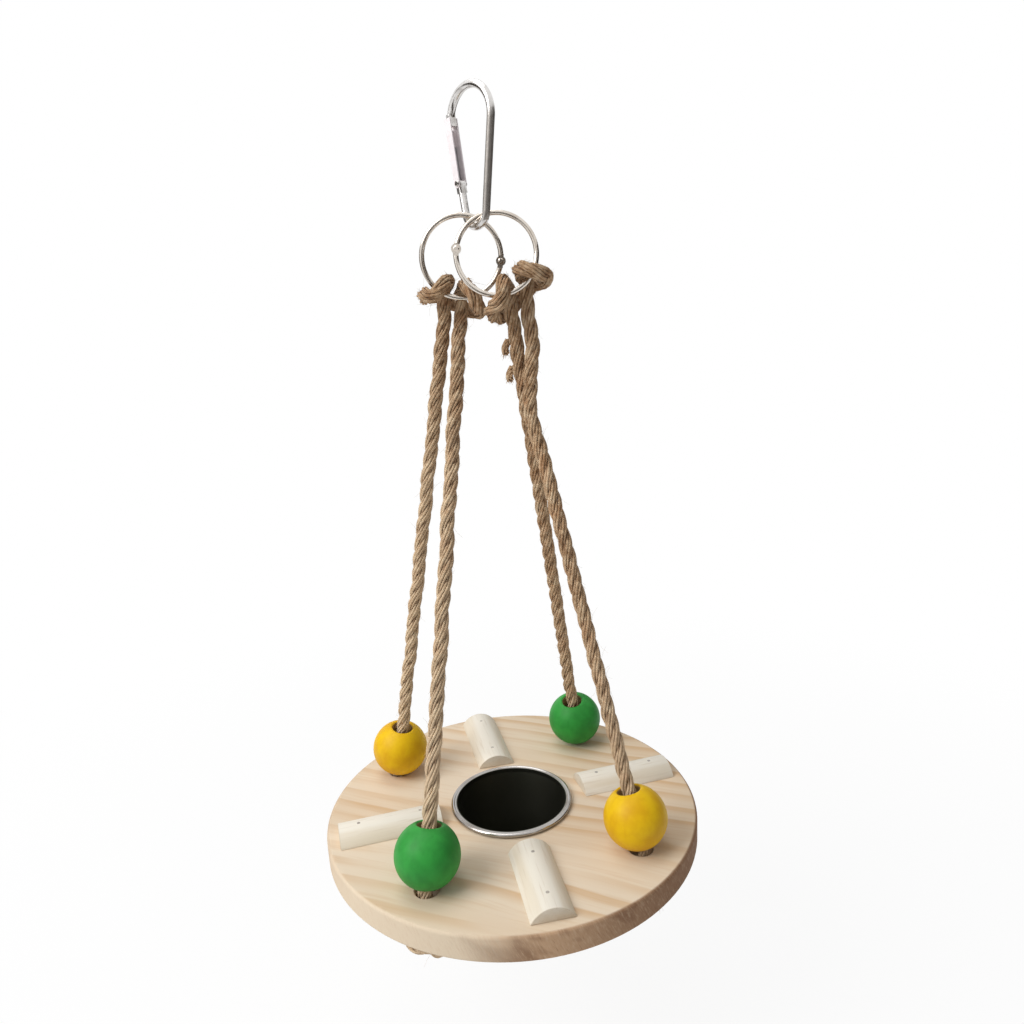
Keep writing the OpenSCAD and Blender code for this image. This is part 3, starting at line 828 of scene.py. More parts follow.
@dataclass
class RopeRoutes:
    """The routes of the two ropes, in millimetres as the frame's source has them."""

    rope_d: float = 7.0
    strand_gap: float = 0.5
    ring_d: float = 38.0
    wire_d: float = 2.4
    ring_spread: float = 7.8
    ring_layer_gap: float = 0.5
    ring_lean: float = 6.5
    ring_z: float = -68.0819
    hitch_play: float = 1.0
    exit_l: float = 7.0
    wrap_half: float = 27.5
    leg_share: float = 1.12
    bar_share: float = 0.55
    drop_share: float = 0.3
    board_r: float = 95.0
    hole_edge: float = 20.5
    hole_slip: float = 2.0
    seat_out: float = 1.5
    board_t: float = 13.0
    rope_drop: float = 274.0
    run_shares: tuple[float, ...] = (0.12, 0.25, 0.4, 0.55, 0.7, 0.82, 0.92)
    join_gap: float = 0.05
    seat_gap: float = 0.3
    knot_turns: float = 1.25
    knot_steps: int = 12
    knot_start: float = 30.0
    tail_l: float = 6.0
    tail_d: float = 3.6
    tail_turns: tuple[float, ...] = (125.0, 158.0, 190.0)
    tail_steps: int = 6

    def __post_init__(self) -> None:
        """Works out what follows from the sizes."""
        self.wrap_mids = {Side.LEFT: -11.0, Side.RIGHT: 33.0}
        self.pair_mids = {Side.LEFT: -19.0, Side.RIGHT: 31.0}
        self.first_turns = [Vector((22.0, -1.5, -112.0)), Vector((19.5, -1.5, -136.0))]
        self.wire_r = self.wire_d / 2
        self.ring_mid_r = (self.ring_d - self.wire_d) / 2
        self.ring_layer = (self.wire_d + self.ring_layer_gap) / 2
        self.pitch = self.rope_d + self.strand_gap
        self.knot_pitch = self.rope_d + 2 * self.strand_gap
        self.wrap_r = self.wire_r + self.hitch_play + self.rope_d / 2
        self.outer_r = self.ring_mid_r + self.wrap_r
        self.board_z = self.ring_z - self.rope_drop

    def in_ring(self, side: Side, x: float, y: float, z: float) -> Vector:
        """A point given from a ring's centre, in the ring's leaning frame.

        Args:
            side: The ring.
            x: How far to the right.
            y: How far back.
            z: How far up.

        Returns:
            The point.
        """
        lean = math.radians(-side.value * self.ring_lean)
        cross_rise = math.sqrt(self.ring_mid_r ** 2 - self.ring_spread ** 2)
        middle_y = -side.value * (self.ring_layer + cross_rise * math.sin(math.radians(self.ring_lean)))
        return Vector((
            side.value * self.ring_spread + x,
            middle_y + y * math.cos(lean) - z * math.sin(lean),
            self.ring_z + y * math.sin(lean) + z * math.cos(lean),
        ))

    def wrap(self, side: Side, phi: float, psi: float) -> Vector:
        """The rope's centre where it goes round the ring's wire.

        Args:
            side: The ring.
            phi: Degrees along the ring from its bottom.
            psi: Degrees round the wire: 0 behind it, 90 inside the ring and 180 in front.

        Returns:
            The point.
        """
        reach = self.ring_mid_r - self.wrap_r * math.sin(math.radians(psi))
        out = self.wrap_r * math.cos(math.radians(psi))
        phi = math.radians(phi)
        return self.in_ring(side, reach * math.sin(phi), out, -reach * math.cos(phi))

    def pair_x(self, corner: Corner) -> float:
        """How far a hanging strand lies to the right of its ring's centre."""
        middle = self.ring_mid_r * math.sin(math.radians(self.pair_mids[corner.side]))
        return middle + corner.strand * self.pitch / 2

    def leg_x(self, corner: Corner) -> float:
        """How far a strand's leg in front of the wire lies to the right of the ring's centre."""
        return self.pair_x(corner) + corner.strand * self.leg_share * self.pitch

    def low_z(self, corner: Corner) -> float:
        """Height of that leg's foot, from the ring's centre."""
        drop = self.outer_r * math.cos(math.asin(self.leg_x(corner) / self.outer_r))
        return -drop - self.rope_d * self.drop_share

    def foot(self, corner: Corner) -> Vector:
        """Where a rope comes up through its hole, level with the board's face."""
        slip = self.hole_slip if corner.strand < 0 else 0.0
        return polar(self.board_r - self.hole_edge - slip + self.seat_out, corner.value, self.board_z)

    def knee(self, corner: Corner) -> Vector:
        """Where a strand turns down behind the wire."""
        return self.in_ring(corner.side, self.pair_x(corner), self.wrap_r, -self.ring_mid_r - self.rope_d)

    def exit(self, corner: Corner) -> Vector:
        """Where a strand leaves its hitch."""
        target = self.first_turns[0] if corner is Corner.FRONT_RIGHT else self.foot(corner)
        return self.knee(corner) + self.exit_l * (target - self.knee(corner)).normalized()

    def straight_from(self, corner: Corner) -> Vector:
        """Where a strand's straight stretch down to the board starts."""
        return self.first_turns[1] if corner is Corner.FRONT_RIGHT else self.exit(corner)

    def hitch_half(self, corner: Corner) -> list[Vector]:
        """From a strand's exit up behind the wire, over it, down in front and back to the bar.

        Args:
            corner: The strand's corner.

        Returns:
            The half's points.
        """
        side, strand = corner.side, corner.strand
        x, leg_x, low_z = self.pair_x(corner), self.leg_x(corner), self.low_z(corner)
        bar_x = x + strand * self.bar_share * self.pitch
        back_phi = math.degrees(math.asin(x / self.ring_mid_r))
        front_phi = self.wrap_mids[side] + strand * self.wrap_half
        low_phi = math.degrees(math.asin(leg_x / self.outer_r))
        points = [self.exit(corner), self.knee(corner)]
        for psi in range(0, 181, 45):
            points.append(self.wrap(side, back_phi + (front_phi - back_phi) * psi / 180, psi))
        for psi in (225, 270):
            points.append(self.wrap(side, front_phi + (low_phi - front_phi) * (psi - 180) / 90, psi))
        points.append(self.in_ring(side, leg_x, self.wrap_r, low_z))
        points.append(self.in_ring(side, bar_x, self.wrap_r + self.pitch, low_z))
        return points

    def hitch(self, side: Side) -> list[Vector]:
        """The whole hitch, from the exit of its back strand to that of its front strand.

        Args:
            side: The rope.

        Returns:
            The hitch's points.
        """
        back, front = Corner.of(side, -1), Corner.of(side, 1)
        middle_x = (self.pair_x(back) + self.pair_x(front)) / 2
        middle_z = (self.low_z(back) + self.low_z(front)) / 2
        middle = self.in_ring(side, middle_x, self.wrap_r + self.pitch, middle_z)
        return smoothed(self.hitch_half(back) + [middle] + self.hitch_half(front)[::-1], 2)

    def run(self, corner: Corner) -> list[Vector]:
        """From a hitch's exit straight to the hole and down through the board.

        Args:
            corner: The hole's corner.

        Returns:
            The stretch's points.
        """
        start, end = self.straight_from(corner), self.foot(corner)
        lead = [self.exit(corner), self.first_turns[0]] if corner is Corner.FRONT_RIGHT else []
        middle = [start.lerp(end, share) for share in self.run_shares]
        down = [end - Vector((0.0, 0.0, self.board_t * k / 2)) for k in range(3)]
        return smoothed(lead + [start] + middle + down, 2)

    def knot(self, corner: Corner) -> list[Vector]:
        """From the hole's lower mouth down, up again and once round the rope.

        Args:
            corner: The hole's corner.

        Returns:
            The knot's points.
        """
        mouth = self.foot(corner) - Vector((0.0, 0.0, self.board_t))
        low = -self.rope_d / 2 - self.seat_gap - self.knot_turns * self.knot_pitch
        half = self.knot_pitch / 2
        down = ((0.0, 0.0), (0.0, low / 2), (0.0, low), (half, low - half))
        points = [mouth + Vector((x, 0.0, z)) for x, z in down]
        for k in range(int(self.knot_turns * self.knot_steps) + 1):
            turn = self.knot_start + k * 360 / self.knot_steps
            points.append(mouth + polar(self.knot_pitch, turn, low + k * self.knot_pitch / self.knot_steps))
        return smoothed(points, 2)

    def tail(self, drop: float) -> list[Vector]:
        """The route of a cut end round the back right rope, in metres.

        Args:
            drop: How far below the hitch it starts, as a share of the rope's diameter.

        Returns:
            Its points, from the top.
        """
        top = self.exit(Corner.BACK_RIGHT)
        down = (self.foot(Corner.BACK_RIGHT) - top).normalized()
        reach = (self.rope_d + self.tail_d) / 2 + self.seat_gap
        points = []
        for step, turn in enumerate(self.tail_turns):
            points.append(top + down * (drop * self.rope_d + self.tail_l * step / 2) + polar(reach, turn))
        return [p * MM for p in smoothed(points, self.tail_steps)]

    def whole(self, side: Side) -> list[Vector]:
        """One rope from the end of its back knot to the end of its front knot, in metres.

        Args:
            side: The rope.

        Returns:
            Its points.
        """
        back, front = Corner.of(side, -1), Corner.of(side, 1)
        parts = [self.knot(back)[::-1], self.run(back)[::-1]]
        parts += [self.hitch(side), self.run(front), self.knot(front)]
        points = [parts[0][0]]
        for part in parts:
            points += [p for p in part if (p - points[-1]).length > self.join_gap]
        return [p * MM for p in points]


def polar(reach: float, degrees: float, z: float = 0.0) -> Vector:
    """A point at a distance from the Z axis, turned from +X, at a height."""
    turn = math.radians(degrees)
    return Vector((reach * math.cos(turn), reach * math.sin(turn), z))


def swung(u: Vector, v: Vector, turn: float) -> Vector:
    """The direction that is turned from u towards v, by an angle in radians."""
    return math.cos(turn) * u + math.sin(turn) * v


def waves(dice: random.Random, low: float, high: float) -> list[tuple[float, float]]:
    """Three waves, each with a length in metres, drawn from a range in millimetres, and a start."""
    return [(dice.uniform(low, high) * MM, dice.uniform(0, math.tau)) for _ in range(3)]


def wave_sum(drawn: Sequence[tuple[float, float]], place: float) -> float:
    """The sum of waves at a place along a rope."""
    return sum(math.sin(math.tau * place / length + start) for length, start in drawn)


def smoothed(points: Sequence[Vector], steps: int) -> list[Vector]:
    """A smooth route through points.

    Args:
        points: The points.
        steps: How many steps there are from each point to the next.

    Returns:
        The route's points.
    """
    route = []
    for i in range(len(points) - 1):
        b, c = points[i], points[i + 1]
        a = points[i - 1] if i > 0 else 2 * b - c
        d = points[i + 2] if i + 2 < len(points) else 2 * c - b
        for k in range(steps):
            t = k / steps
            route.append(
                (2 * b + (c - a) * t + (2 * a - 5 * b + 4 * c - d) * t * t
                 + (3 * b - a - 3 * c + d) * t ** 3) / 2
            )
    return route + [points[-1].copy()]


def even_route(points: Sequence[Vector], gap: float) -> list[Vector]:
    """The same route with points an even distance apart.

    Args:
        points: The route.
        gap: The distance.

    Returns:
        The new points.
    """
    fine = smoothed(points, 8)
    out = [fine[0].copy()]
    left = gap
    for a, b in zip(fine, fine[1:]):
        step = (b - a).length
        while step >= left > 0:
            a = a.lerp(b, left / step)
            out.append(a.copy())
            step = (b - a).length
            left = gap
        left -= step
    return out


def reaches(route: Sequence[Vector]) -> list[float]:
    """How far along a route each of its points lies.

    Args:
        route: The route.

    Returns:
        The distances, of which the first is 0.
    """
    out = [0.0]
    for a, b in zip(route, route[1:]):
        out.append(out[-1] + (b - a).length)
    return out


def carried_frames(route: Sequence[Vector]) -> Frames:
    """Two sides and a heading at each point of a route, carried along without twist.

    Args:
        route: The route.

    Returns:
        For each point its two side vectors and its heading.
    """
    out = []
    side = Vector((1.0, 0.0, 0.0))
    for i in range(len(route)):
        heading = (route[min(i + 1, len(route) - 1)] - route[max(i - 1, 0)]).normalized()
        side = (side - side.dot(heading) * heading).normalized()
        out.append((side.copy(), heading.cross(side), heading))
    return out


def tubes(name: str, lines: Sequence[Line], thickness: float, sides: int) -> bpy.types.Mesh:
    """Round tubes along lines, as one mesh with a UV map across and along each.

    Args:
        name: The mesh's name.
        lines: For each tube its points, each with a share of the full radius.
        thickness: The full radius.
        sides: Bevel resolution of the round section.

    Returns:
        The mesh.
    """
    curve = bpy.data.curves.new(name, "CURVE")
    curve.dimensions = "3D"
    curve.bevel_depth = thickness
    curve.bevel_resolution = sides
    curve.use_fill_caps = True
    for line in lines:
        spline = curve.splines.new("POLY")
        spline.points.add(len(line) - 1)
        spline.points.foreach_set("co", [v for p, _ in line for v in (*p, 1.0)])
        spline.points.foreach_set("radius", [r for _, r in line])
    holder = bpy.data.objects.new(name, curve)
    bpy.context.scene.collection.objects.link(holder)
    bpy.context.view_layer.update()
    ready = holder.evaluated_get(bpy.context.evaluated_depsgraph_get())
    mesh = bpy.data.meshes.new_from_object(ready)
    bpy.data.objects.remove(holder)
    bpy.data.curves.remove(curve)
    mesh.name = name
    mesh.shade_smooth()
    return mesh


@dataclass(frozen=True)
class StrayFibres:
    """One kind of stray fibre: how many, how long in millimetres, and how far they lift."""

    count: int
    length: tuple[float, float]
    lift: tuple[float, float]


@dataclass
class JuteRope:
    """One hard-laid jute rope, of three strands of seven thin yarns, with stray fibres.

    Its sizes are in metres, and the ranges that lengths are drawn from in millimetres.
    """

    side: Side
    finish: bpy.types.Material
    fibre_finish: bpy.types.Material
    seed: int
    rope_r: float = 3.5 * MM
    strands: int = 3
    strand_place_r: float = 1.45 * MM
    yarns_a_strand: int = 7
    yarn_place_r: float = 1.5 * MM
    yarn_r: float = 0.66 * MM
    pressed_r: float = 2.86 * MM
    lay: float = 27.0 * MM
    yarn_lay: float = 38.0 * MM
    slack: float = 0.035
    slack_waves: tuple[float, float] = (14.0, 45.0)
    swell: float = 0.06
    swell_waves: tuple[float, float] = (7.0, 26.0)
    wander: float = 0.16 * MM
    wander_waves: tuple[float, float] = (20.0, 60.0)
    wander_count: int = 5
    fine_gap: float = 0.6 * MM
    straight_gap: float = 1.65 * MM
    bend_limit: float = math.radians(5)
    slit_depth: float = 2.3 * MM
    slit_from: float = math.radians(46)
    slit_to: float = math.radians(60)
    fibre_r: float = 0.055 * MM
    fibre_place: tuple[float, float] = (2.9, 3.4)
    stray: tuple[StrayFibres, ...] = (
        StrayFibres(1700, (1.2, 3.6), (0.05, 0.4)),
        StrayFibres(90, (3.5, 7.5), (0.2, 0.7)),
    )

    def build(self, routes: RopeRoutes) -> None:
        """Makes the rope and its stray fibres.

        Args:
            routes: The ropes' routes.
        """
        label = self.side.name.lower()
        route = self._unsteady(self._thinned(even_route(routes.whole(self.side), self.fine_gap)))
        frames = carried_frames(route)
        mesh = tubes(f"jute_rope_{label}", self._yarns(route, frames), self.yarn_r, 1)
        self._mark_slits(mesh, route, frames)
        ends = [Corner.of(self.side, strand).label for strand in (-1, 1)]
        nodes = [f"{label}_hitch"]
        nodes += [f"rope_{end}" for end in ends]
        nodes += [f"knot_{end}" for end in ends]
        piece = stand(mesh, "tray", "jute", self.finish, *nodes)
        reaches(route)[-1]
        fuzz = tubes(f"rope_fibres_{label}", self._fibres(route, frames), self.fibre_r, 0)
        stand(fuzz, "tray", "jute", self.fibre_finish)

    def _thinned(self, route: Sequence[Vector]) -> list[Vector]:
        """The route with fewer points where it is straight.

        Args:
            route: The route, with even steps.

        Returns:
            The points that are kept.
        """
        kept = [route[0]]
        heading = route[1] - route[0]
        for i in range(1, len(route) - 1):
            ahead = route[i + 1] - route[i]
            if ahead.angle(heading) > self.bend_limit or (route[i] - kept[-1]).length > self.straight_gap:
                kept.append(route[i])
                heading = ahead
        return kept + [route[-1]]

    def _unsteady(self, route: Sequence[Vector]) -> list[Vector]:
        """The route with the slight wander of a hand-tied rope.

        Args:
            route: The route.

        Returns:
            The moved points.
        """
        dice = random.Random(self.seed)
        sways = []
        for _ in range(self.wander_count):
            length, start = dice.uniform(*self.wander_waves) * MM, dice.uniform(0, math.tau)
            sways.append((length, start, Vector((dice.uniform(-1, 1), dice.uniform(-1, 1), 0))))
        out = []
        for point, s in zip(route, reaches(route)):
            pulls = (way * math.sin(math.tau * s / length + start) for length, start, way in sways)
            out.append(point + sum(pulls, Vector()) * self.wander)
        return out

    def _yarns(self, route: Sequence[Vector], frames: Frames) -> list[Line]:
        """The yarns, strand by strand.

        Args:
            route: The rope's route.
            frames: The directions across and along the route at each of its points.

        Returns:
            The yarns' lines.
        """
        dice = random.Random(self.seed + 1)
        tilt = math.atan(math.tau * self.strand_place_r / self.lay)
        stations = list(zip(route, frames, reaches(route)))
        yarns = []
        for strand in range(self.strands):
            pulls = waves(dice, *self.slack_waves)
            for yarn in range(self.yarns_a_strand):
                beats = waves(dice, *self.swell_waves)
                line = []
                for point, (u, v, ahead), s in stations:
                    a = math.tau * (strand / self.strands + s / self.lay)
                    b = math.tau * (yarn / self.yarns_a_strand - s / self.yarn_lay)
                    out = swung(u, v, a)
                    over = swung(v, -u, a) * math.cos(tilt) - ahead * math.sin(tilt)
                    place = point + out * self.strand_place_r * (1.0 + self.slack * wave_sum(pulls, s))
                    place += swung(out, over, b) * self.yarn_place_r
                    line.append((self._pressed(place, point, ahead), 1.0 + self.swell * wave_sum(beats, s)))
                yarns.append(line)
        return yarns

    def _pressed(self, place: Vector, middle: Vector, ahead: Vector) -> Vector:
        """A yarn's place, pressed in so that the rope stays round.

        Args:
            place: The yarn's place.
            middle: The rope's middle there.
            ahead: The rope's heading there.

        Returns:
            The new place.
        """
        away = place - middle
        away -= ahead * away.dot(ahead)
        excess = max(0.0, away.length - self.pressed_r)
        return place - away.normalized() * excess

    def _mark_slits(self, mesh: bpy.types.Mesh, route: Sequence[Vector], frames: Frames) -> None:
        """Marks the painted shade in the gaps between the strands, and how deep each point of the yarns lies.

        Args:
            mesh: The yarns, as tubes: first all their end caps, then each tube point by point.
            route: The rope's route.
            frames: The directions across and along the route at each of its points.
        """
        count = self.strands * self.yarns_a_strand
        ring = len(mesh.vertices) // (count * (len(route) + 2))
        caps = 2 * ring * count
        strand_size = ring * len(route) * self.yarns_a_strand
        places = reaches(route)
        marks = [0.0] * caps
        for i, vert in enumerate(mesh.vertices[caps:]):
            k = (i // ring) % len(route)
            u, v, _ = frames[k]
            away = vert.co - route[k]
            strand_turn = math.tau * (i // strand_size / self.strands + places[k] / self.lay)
            turn = math.atan2(away.dot(v), away.dot(u)) - strand_turn
            off = abs((turn + math.pi) % math.tau - math.pi)
            slit = (off - self.slit_from) / (self.slit_to - self.slit_from)
            depth = (self.rope_r - away.length) / self.slit_depth
            marks.append(max(0.0, min(1.0, max(slit, depth))))
        mark = mesh.attributes.new("deep", "FLOAT", "POINT")
        mark.data.foreach_set("value", marks)

    def _fibres(self, route: Sequence[Vector], frames: Frames) -> list[Line]:
        """Short fibres that lie along the rope, and a few long ones that lift off and curl.

        Args:
            route: The rope's route.
            frames: The directions across and along the route at each of its points.

        Returns:
            The fibres' lines.
        """
        dice = random.Random(self.seed + 2)
        lines = []
        kinds = [kind for kind in self.stray for _ in range(kind.count)]
        for kind in kinds:
            i = dice.randrange(3, len(route) - 3)
            u, v, ahead = frames[i]
            a = dice.uniform(0, math.tau)
            out, over = swung(u, v, a), swung(v, -u, a)
            length, lift = dice.uniform(*kind.length) * MM, dice.uniform(*kind.lift)
            curl = dice.uniform(-0.5, 0.5)
            way = ahead if dice.random() < 0.5 else -ahead
            start = route[i] + out * dice.uniform(*self.fibre_place) * MM
            line = []
            for t in (0.0, 1 / 3, 2 / 3, 1.0):
                step = way * t * (1.0 - 0.35 * lift) + out * lift * t * t + over * (0.4 * t + curl * t * t)
                line.append((start + step * length, 1.0 - 0.55 * t))
            lines.append(line)
        return lines


@dataclass
class CutEnds:
    """The two short cut ends of jute beside the right ropes."""

    finish: bpy.types.Material
    drops: tuple[float, float] = (0.85, 2.7)
    yarns: int = 5
    yarn_place_r: float = 0.95 * MM
    yarn_r: float = 0.8 * MM
    twist: float = 0.45
    flare: float = 0.25
    bristles: int = 46
    seed: int = 5

    def build(self, routes: RopeRoutes) -> None:
        """Makes both ends as bundles of yarn that fray.

        Args:
            routes: The ropes' routes.
        """
        dice = random.Random(self.seed)
        lines = []
        for drop in self.drops:
            lines += self._bundle(routes.tail(drop), dice)
        made = tubes("rope_cut_ends", lines, self.yarn_r, 1)
        stand(made, "tray", "jute", self.finish, "rope_tails")

    def _bundle(self, route: list[Vector], dice: random.Random) -> list[Line]:
        """Yarns that twist together, with loose hairs at the cut.

        Args:
            route: The bundle's route, from the top to the cut.
            dice: What places the hairs.

        Returns:
            The lines of the yarns and hairs.
        """
        frames = carried_frames(route)
        lines = []
        for yarn in range(self.yarns):
            line = []
            for i, (point, (u, v, _)) in enumerate(zip(route, frames)):
                t = i / (len(route) - 1)
                out = swung(u, v, math.tau * (yarn / self.yarns + self.twist * t))
                place = point + out * self.yarn_place_r * (1.0 + self.flare * t ** 3)
                line.append((place, 1.0 - 0.3 * t ** 5))
            lines.append(line)
        u, v, ahead = frames[-1]
        for _ in range(self.bristles):
            out = swung(u, v, dice.uniform(0, math.tau))
            start = route[-1] - ahead * dice.uniform(0.5, 4.0) * MM + out * dice.uniform(0.4, 1.6) * MM
            span, bend = dice.uniform(1.2, 3.2) * MM, dice.uniform(0.1, 0.8)
            lines.append([
                (start + (ahead * t + out * bend * t * t) * span, 0.11 - 0.05 * t)
                for t in (0.0, 0.35, 0.7, 1.0)
            ])
        return lines


@dataclass
class TurnedBead:
    """A turned wooden bead with a soft-lipped bore, on one rope."""

    corner: Corner
    body: str
    slot: str
    finish: bpy.types.Material
    bead_r: float = 15.0 * MM
    bore_r: float = 5.4 * MM
    lip_r: float = 1.1 * MM
    lip_mark: float = 0.9 * MM
    face_steps: int = 24
    lip_steps: int = 5
    bore_steps: int = 5
    turn_steps: int = 72

    def build(self, routes: RopeRoutes) -> None:
        """Spins the bead's outline and sets it on its rope.

        Args:
            routes: The ropes' routes.
        """
        mesh = bmesh.new()
        mark = mesh.verts.layers.float.new("bore")
        verts = [mesh.verts.new((r, 0.0, z)) for r, z in self._outline()]
        edges = [mesh.edges.new((verts[i - 1], verts[i])) for i in range(len(verts))]
        bmesh.ops.spin(
            mesh, geom=verts + edges, cent=(0, 0, 0), axis=(0, 0, 1),
            angle=math.tau, steps=self.turn_steps, use_merge=True,
        )
        bmesh.ops.remove_doubles(mesh, verts=mesh.verts, dist=1e-6)
        for vert in mesh.verts:
            reach = math.hypot(vert.co.x, vert.co.y)
            vert[mark] = max(0.0, min(1.0, 1.0 - (reach - self.bore_r) / self.lip_mark))
        lean, centre = self._seat(routes)
        turn = Vector((0.0, 0.0, 1.0)).rotation_difference(lean).to_matrix().to_4x4()
        bmesh.ops.transform(mesh, matrix=Matrix.Translation(centre) @ turn, verts=mesh.verts)
        made = fold_in(mesh, f"turned_bead_{self.corner.label}")
        made.shade_smooth()
        stand(made, self.body, self.slot, self.finish, f"bead_{self.corner.label}")

    def _outline(self) -> list[tuple[float, float]]:
        """The closed outline of the bead's section.

        Returns:
            The radius and height of each of its points.
        """
        spot_r = self.bore_r + self.lip_r
        spot_z = math.sqrt((self.bead_r - self.lip_r) ** 2 - spot_r ** 2)
        edge = math.atan2(spot_z, spot_r)
        face_turns = [-edge + 2 * edge * k / self.face_steps for k in range(self.face_steps + 1)]
        lip_turns = [edge + (math.pi - edge) * k / self.lip_steps for k in range(1, self.lip_steps + 1)]
        face = [(self.bead_r * math.cos(a), self.bead_r * math.sin(a)) for a in face_turns]
        lip = [(spot_r + self.lip_r * math.cos(a), spot_z + self.lip_r * math.sin(a)) for a in lip_turns]
        bore = [(self.bore_r, spot_z * (1 - 2 * k / self.bore_steps)) for k in range(1, self.bore_steps)]
        return face + lip + bore + [(r, -z) for r, z in reversed(lip)]

    def _seat(self, routes: RopeRoutes) -> tuple[Vector, Vector]:
        """The rope's lean, and the bead's centre in metres."""
        low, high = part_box(f"bead_{self.corner.label}")
        return (routes.straight_from(self.corner) - routes.foot(self.corner)).normalized(), (low + high) / 2


@dataclass
class PerchStrip:
    """A half-round perch strip, nailed flat on the board."""

    node: str
    turn_deg: float
    start_r: float
    length: float
    width: float = 20.5 * MM
    height: float = 6.5 * MM
    soften: float = 0.45 * MM
    end_depth: float = 0.2 * MM
    arc_steps: int = 24
    sharp_from: float = math.radians(30)
    crisp_from: float = math.radians(40)

    def build(self, board_z: float, finish: bpy.types.Material) -> None:
        """Draws the half-round end out into a strip and softens its edges.

        Args:
            board_z: Height of the board's face.
            finish: The strip's material.
        """
        round_r = (self.width ** 2 / 4 + self.height ** 2) / (2 * self.height)
        half = math.asin(self.width / 2 / round_r)
        mesh = bmesh.new()
        mark = mesh.verts.layers.float.new("sawn")
        rim = []
        for k in range(self.arc_steps + 1):
            a = -half + 2 * half * k / self.arc_steps
            rise = self.height - round_r + round_r * math.cos(a)
            rim.append(mesh.verts.new((0.0, round_r * math.sin(a), rise)))
        grown = bmesh.ops.extrude_face_region(mesh, geom=[mesh.faces.new(rim)])
        moved = [g for g in grown["geom"] if isinstance(g, bmesh.types.BMVert)]
        bmesh.ops.translate(mesh, vec=(self.length, 0.0, 0.0), verts=moved)
        joined = [edge for edge in mesh.edges if len(edge.link_faces) == 2]
        sharp = [edge for edge in joined if edge.calc_face_angle(0.0) > self.sharp_from]
        bmesh.ops.bevel(
            mesh, geom=sharp, offset=self.soften, segments=2, profile=0.5, affect="EDGES", material=-1
        )
        for vert in mesh.verts:
            near_end = vert.co.x < self.end_depth or vert.co.x > self.length - self.end_depth
            vert[mark] = 1.0 if near_end else 0.0
        turn = Matrix.Rotation(math.radians(self.turn_deg), 4, "Z")
        place = turn @ Matrix.Translation((self.start_r, 0.0, board_z))
        bmesh.ops.transform(mesh, matrix=place, verts=mesh.verts)
        made = fold_in(mesh, f"strip_{self.node}")
        made.set_sharp_from_angle(angle=self.crisp_from)
        stand(made, "tray", "perch_wood", finish, self.node)


@dataclass
class Tray:
    """The board with its perch strips, brads and cup."""

    rim_r: float = 31.5 * MM
    perch_gap: float = 6.5 * MM
    perch_end_r: float = 89.0 * MM
    perches: tuple[tuple[str, float, float], ...] = (
        ("front", 279.5, 3.0 * MM),
        ("back", 101.5, -2.0 * MM),
        ("left", 194.0, 0.0),
        ("right", 14.5, 0.0),
    )

    def build(self, board_z: float) -> None:
        """Dresses the board and cup, and makes each strip with its own turn and start.

        Args:
            board_z: Height of the board's face.
        """
        dress(Pine().material(), "board")
        dress(CupSteel(board_z=board_z).material(), "food_cup")
        brad = CastZinc("brad_steel", (0.48, 0.44, 0.39), (0.34, 0.31, 0.27), rough=0.5)
        dress(brad.material(), "perch_brads")
        for name, turn, shift in self.perches:
            finish = PerchWood(turn=math.radians(turn), name=f"perch_wood_{name}").material()
            start = self.rim_r + self.perch_gap + shift
            PerchStrip(f"perch_{name}", turn, start, self.perch_end_r - start).build(board_z, finish)


@dataclass
class Hangers:
    """The snap hook and the two binder rings."""

    hook: CastZinc = HookZinc("hook_zinc", (0.74, 0.72, 0.70), (0.50, 0.475, 0.45), rough=0.15, lump=0.0001)
    gate: CastZinc = CastZinc(
        "gate_zinc", (0.95, 0.88, 0.89), (0.86, 0.79, 0.80), rough=0.3, lump=0.00002, metal=0.2
    )
    leaf: CastZinc = CastZinc("leaf_steel", (0.5, 0.5, 0.52), (0.38, 0.38, 0.4), rough=0.3, lump=0.00001)
    ring: CastZinc = CastZinc(
        "ring_nickel", (0.72, 0.66, 0.59), (0.56, 0.49, 0.42), rough=0.1, lump=0.00002, lump_scale=140.0
    )

    def build(self) -> None:
        """Dresses the metal nodes."""
        dress(self.hook.material(), "hook_body", "gate_rivet")
        dress(self.gate.material(), "hook_gate")
        dress(self.leaf.material(), "gate_spring")
        rings = [f"{side}_ring_{part}" for side in ("left", "right") for part in ("upper", "lower", "pin")]
        dress(self.ring.material(), *rings)


